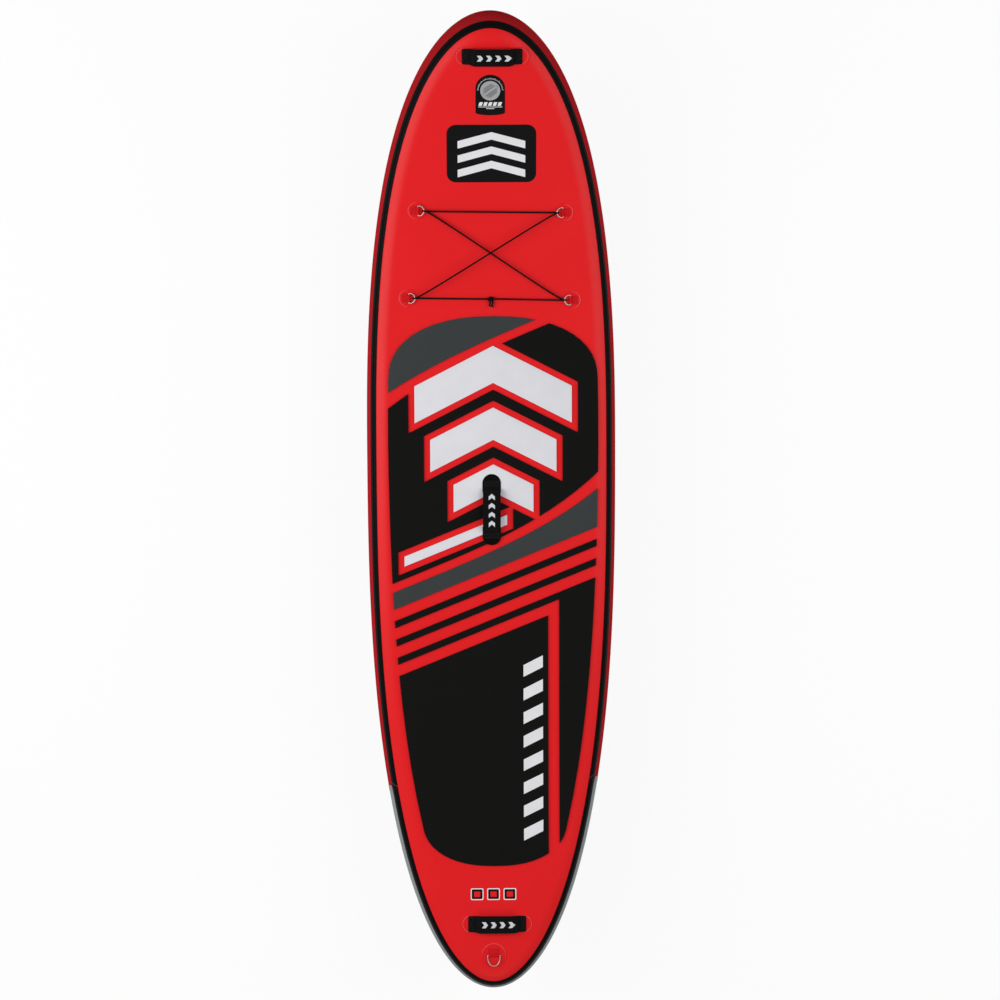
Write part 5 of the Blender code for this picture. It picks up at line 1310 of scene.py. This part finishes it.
def fin_outline(u, v, depth, chord, tip_chord, rake):
    """Side view of a swept fin: u from front edge to rear, v from root to tip."""
    front = chord / 2 - rake * v**1.6
    length = chord + (tip_chord - chord) * v**1.15
    return front - length * u, depth * (v - 0.10 * v * v * (2 * u - 1) ** 2)


def fin_half(u, v, thickness):
    """Half the blade's thickness."""
    body = sqrt(sin(pi * (0.08 + 0.84 * u**0.8)))
    edge = sqrt(max(0.0, 1 - (1 - min(1.0, u / 0.012, (1 - u) / 0.012)) ** 2))
    tip = sqrt(max(0.0, 1 - max(0.0, (v - 0.985) / 0.015) ** 2))
    return max(0.00008, max(FIN_EDGE, thickness * body * (1 - 0.55 * v)) / 2 * edge * tip)


def fin_blade(size, thickness, root, place, forward=0.0):
    """A swept blade with a smooth section and round edges."""
    chord_places = [0.0, 0.002, 0.005, 0.009, *spread(0.014, 0.986, 40), 0.991, 0.995, 0.998, 1.0]
    rings = []
    for v in [*spread(0, 0.985, 44), 0.990, 0.995, 0.998, 1.0]:
        ring = []
        for side, row in ((1, chord_places), (-1, chord_places[::-1])):
            for u in row:
                (along, down), half = fin_outline(u, v, *size), fin_half(u, v, thickness)
                ring.append(place @ Vector((side * half, forward + along, root - down)))
        rings.append(ring)
    return loft(rings)


def cut_above(name, place, level, edge):
    """The part of a node on the board's side of a level in place's frame, with its edges rounded."""
    bm = from_node(name, edge)
    down = (place.to_3x3() @ Vector((0, 0, -1))).normalized()
    split(bm, place @ Vector((0, 0, level)), down, dist=1e-6, clear_outer=True)
    fill_holes(bm)
    return bm


def make_fins():
    """Smooth blades, the centre fin's tab, the slotted box and the side fins' bases."""
    place = surface_frame(0.0, FIN_PLACE, -RAIL)
    blade = fin_blade(CENTRE_FIN, FIN_THICKNESS, FIN_ROOT, place, FIN_FORWARD)
    tab = cut_above("centre_fin", place, FIN_ROOT - 0.0005, 0.0003)
    add("centre_fin_blade", join([blade, tab]), BLACK_PLASTIC, "centre_fin", nodes=("centre_fin",))
    add("fin_box_moulding", from_node("fin_box", 0.0006), BLACK_PLASTIC, nodes=("fin_box",))
    reach = half_width(SIDE_FIN_PLACE) - SIDE_FIN_INSET
    for side, label in ((-1, "left"), (1, "right")):
        place = surface_frame(side * reach, SIDE_FIN_PLACE, -RAIL)
        blade = fin_blade(SIDE_FIN, SIDE_FIN_THICKNESS, SIDE_FIN_ROOT, place)
        add(f"side_fin_{label}_blade", blade, BLACK_PLASTIC, nodes=(f"side_fin_{label}",))
        base = f"side_fin_base_{label}"
        add(f"{base}_foot", from_node(base, 0.0007), BLACK_PLASTIC, nodes=(base,))


def finish_nodes():
    """Detailed finishes for the inner pieces that keep their solids."""
    finishes = {
        "drop_stitch_yarn": YARN, "fin_nut_plate": STEEL, "fin_pin": BRASS, "fin_screw": STEEL,
        "valve_base": DARK_PLASTIC, "valve_body": SILVER, "valve_plunger": DARK_PLASTIC,
        "valve_gasket": RUBBER, "valve_diaphragm": RUBBER,
    }
    for name, finish in finishes.items():
        for slot in frame["nodes"][name].material_slots:
            slot.material = finish


# Light, floor and camera

LIGHT_TARGET = (0, 0.4, 0.3)
# place, size, power
LIGHTS = {
    "key": ((-4.3, 0.6, 3.9), (2.8, 5.0), 218),
    "right": ((3.9, 0.6, 4.2), (3.0, 5.0), 132),
    "tail": ((0.2, -4.4, 4.2), (3.0, 1.5), 24),
}
WORLD_STRENGTH = 0.22
CAMERA_DISTANCE = 9.3626
CAMERA_TURN = 0.01064
CAMERA_TILT = -0.11326
CAMERA_ROLL = 0.00447
PIXEL = 0.00328
PRINCIPAL = (491.48, 507.62)
FRAME_PIXELS = 1000


def make_floor():
    """A plain white floor that keeps a soft shadow."""
    bm = bmesh.new()
    bmesh.ops.create_grid(bm, x_segments=1, y_segments=1, size=40)
    ground = linked("floor", mesh_of("floor", bm))
    ground.location.z = -0.002
    made = Finish("floor", (0.92, 0.92, 0.92), 0.9, Specular_IOR_Level=0.1)
    white = made.node("Emission", {"Strength": 1.0, "Color": (1, 1, 1, 1)})
    share = made.maths("MULTIPLY", made.backdrop_seen(), 0.90)
    mix = made.node("MixShader", {0: share, 1: made.surface.outputs[0], 2: white.outputs[0]})
    made.feed(made.tree.nodes["Material Output"], "Surface", mix.outputs[0])
    ground.data.materials.append(made.material)


def make_lights():
    """Soft studio light from above, stronger from the left."""
    for name, (place, size, power) in LIGHTS.items():
        light = bpy.data.lights.new(name, "AREA")
        light.shape = "RECTANGLE"
        light.size, light.size_y = size
        light.energy = power
        lamp = linked(name, light)
        lamp.location = place
        aim = Vector(LIGHT_TARGET) - lamp.location
        lamp.rotation_euler = aim.to_track_quat("-Z", "Y").to_euler()
    world = bpy.data.worlds.new("studio")
    bpy.context.scene.world = world
    world.use_nodes = True
    back, studio = world.node_tree.nodes["Background"], Nodes(world.node_tree)
    studio.feed(back, "Color", (1, 1, 1, 1))
    studio.feed(back, "Strength", studio.spanned(studio.backdrop_seen(), WORLD_STRENGTH, 1.0))


def make_camera():
    """The photograph's view: from above, a little towards the nose."""
    data = bpy.data.cameras.new("camera")
    data.sensor_width = 36
    data.lens = CAMERA_DISTANCE / PIXEL / FRAME_PIXELS * data.sensor_width
    data.shift_x = 0.5 - PRINCIPAL[0] / FRAME_PIXELS
    data.shift_y = PRINCIPAL[1] / FRAME_PIXELS - 0.5
    data.clip_end = 100
    turn, tilt, roll = CAMERA_TURN, CAMERA_TILT, CAMERA_ROLL
    right = Vector((cos(turn), 0, sin(turn)))
    back = Vector((-sin(turn) * cos(tilt), -sin(tilt), cos(turn) * cos(tilt)))
    up = back.cross(right)
    axes = right * cos(roll) - up * sin(roll), right * sin(roll) + up * cos(roll), back
    camera = linked("camera", data)
    camera.matrix_world = (Matrix.Translation(Vector((0, 0, KEEL)) + back * CAMERA_DISTANCE)
                           @ Matrix(axes).transposed().to_4x4())
    bpy.context.scene.camera = camera


make_hull()
make_pads()
for handle in HANDLES:
    make_handle(*handle)
make_rings()
make_cord()
make_badge()
make_cap()
make_spring()
make_prints()
make_fins()
finish_nodes()
make_floor()
make_lights()
make_camera()
bpy.context.scene.view_settings.view_transform = "Standard"
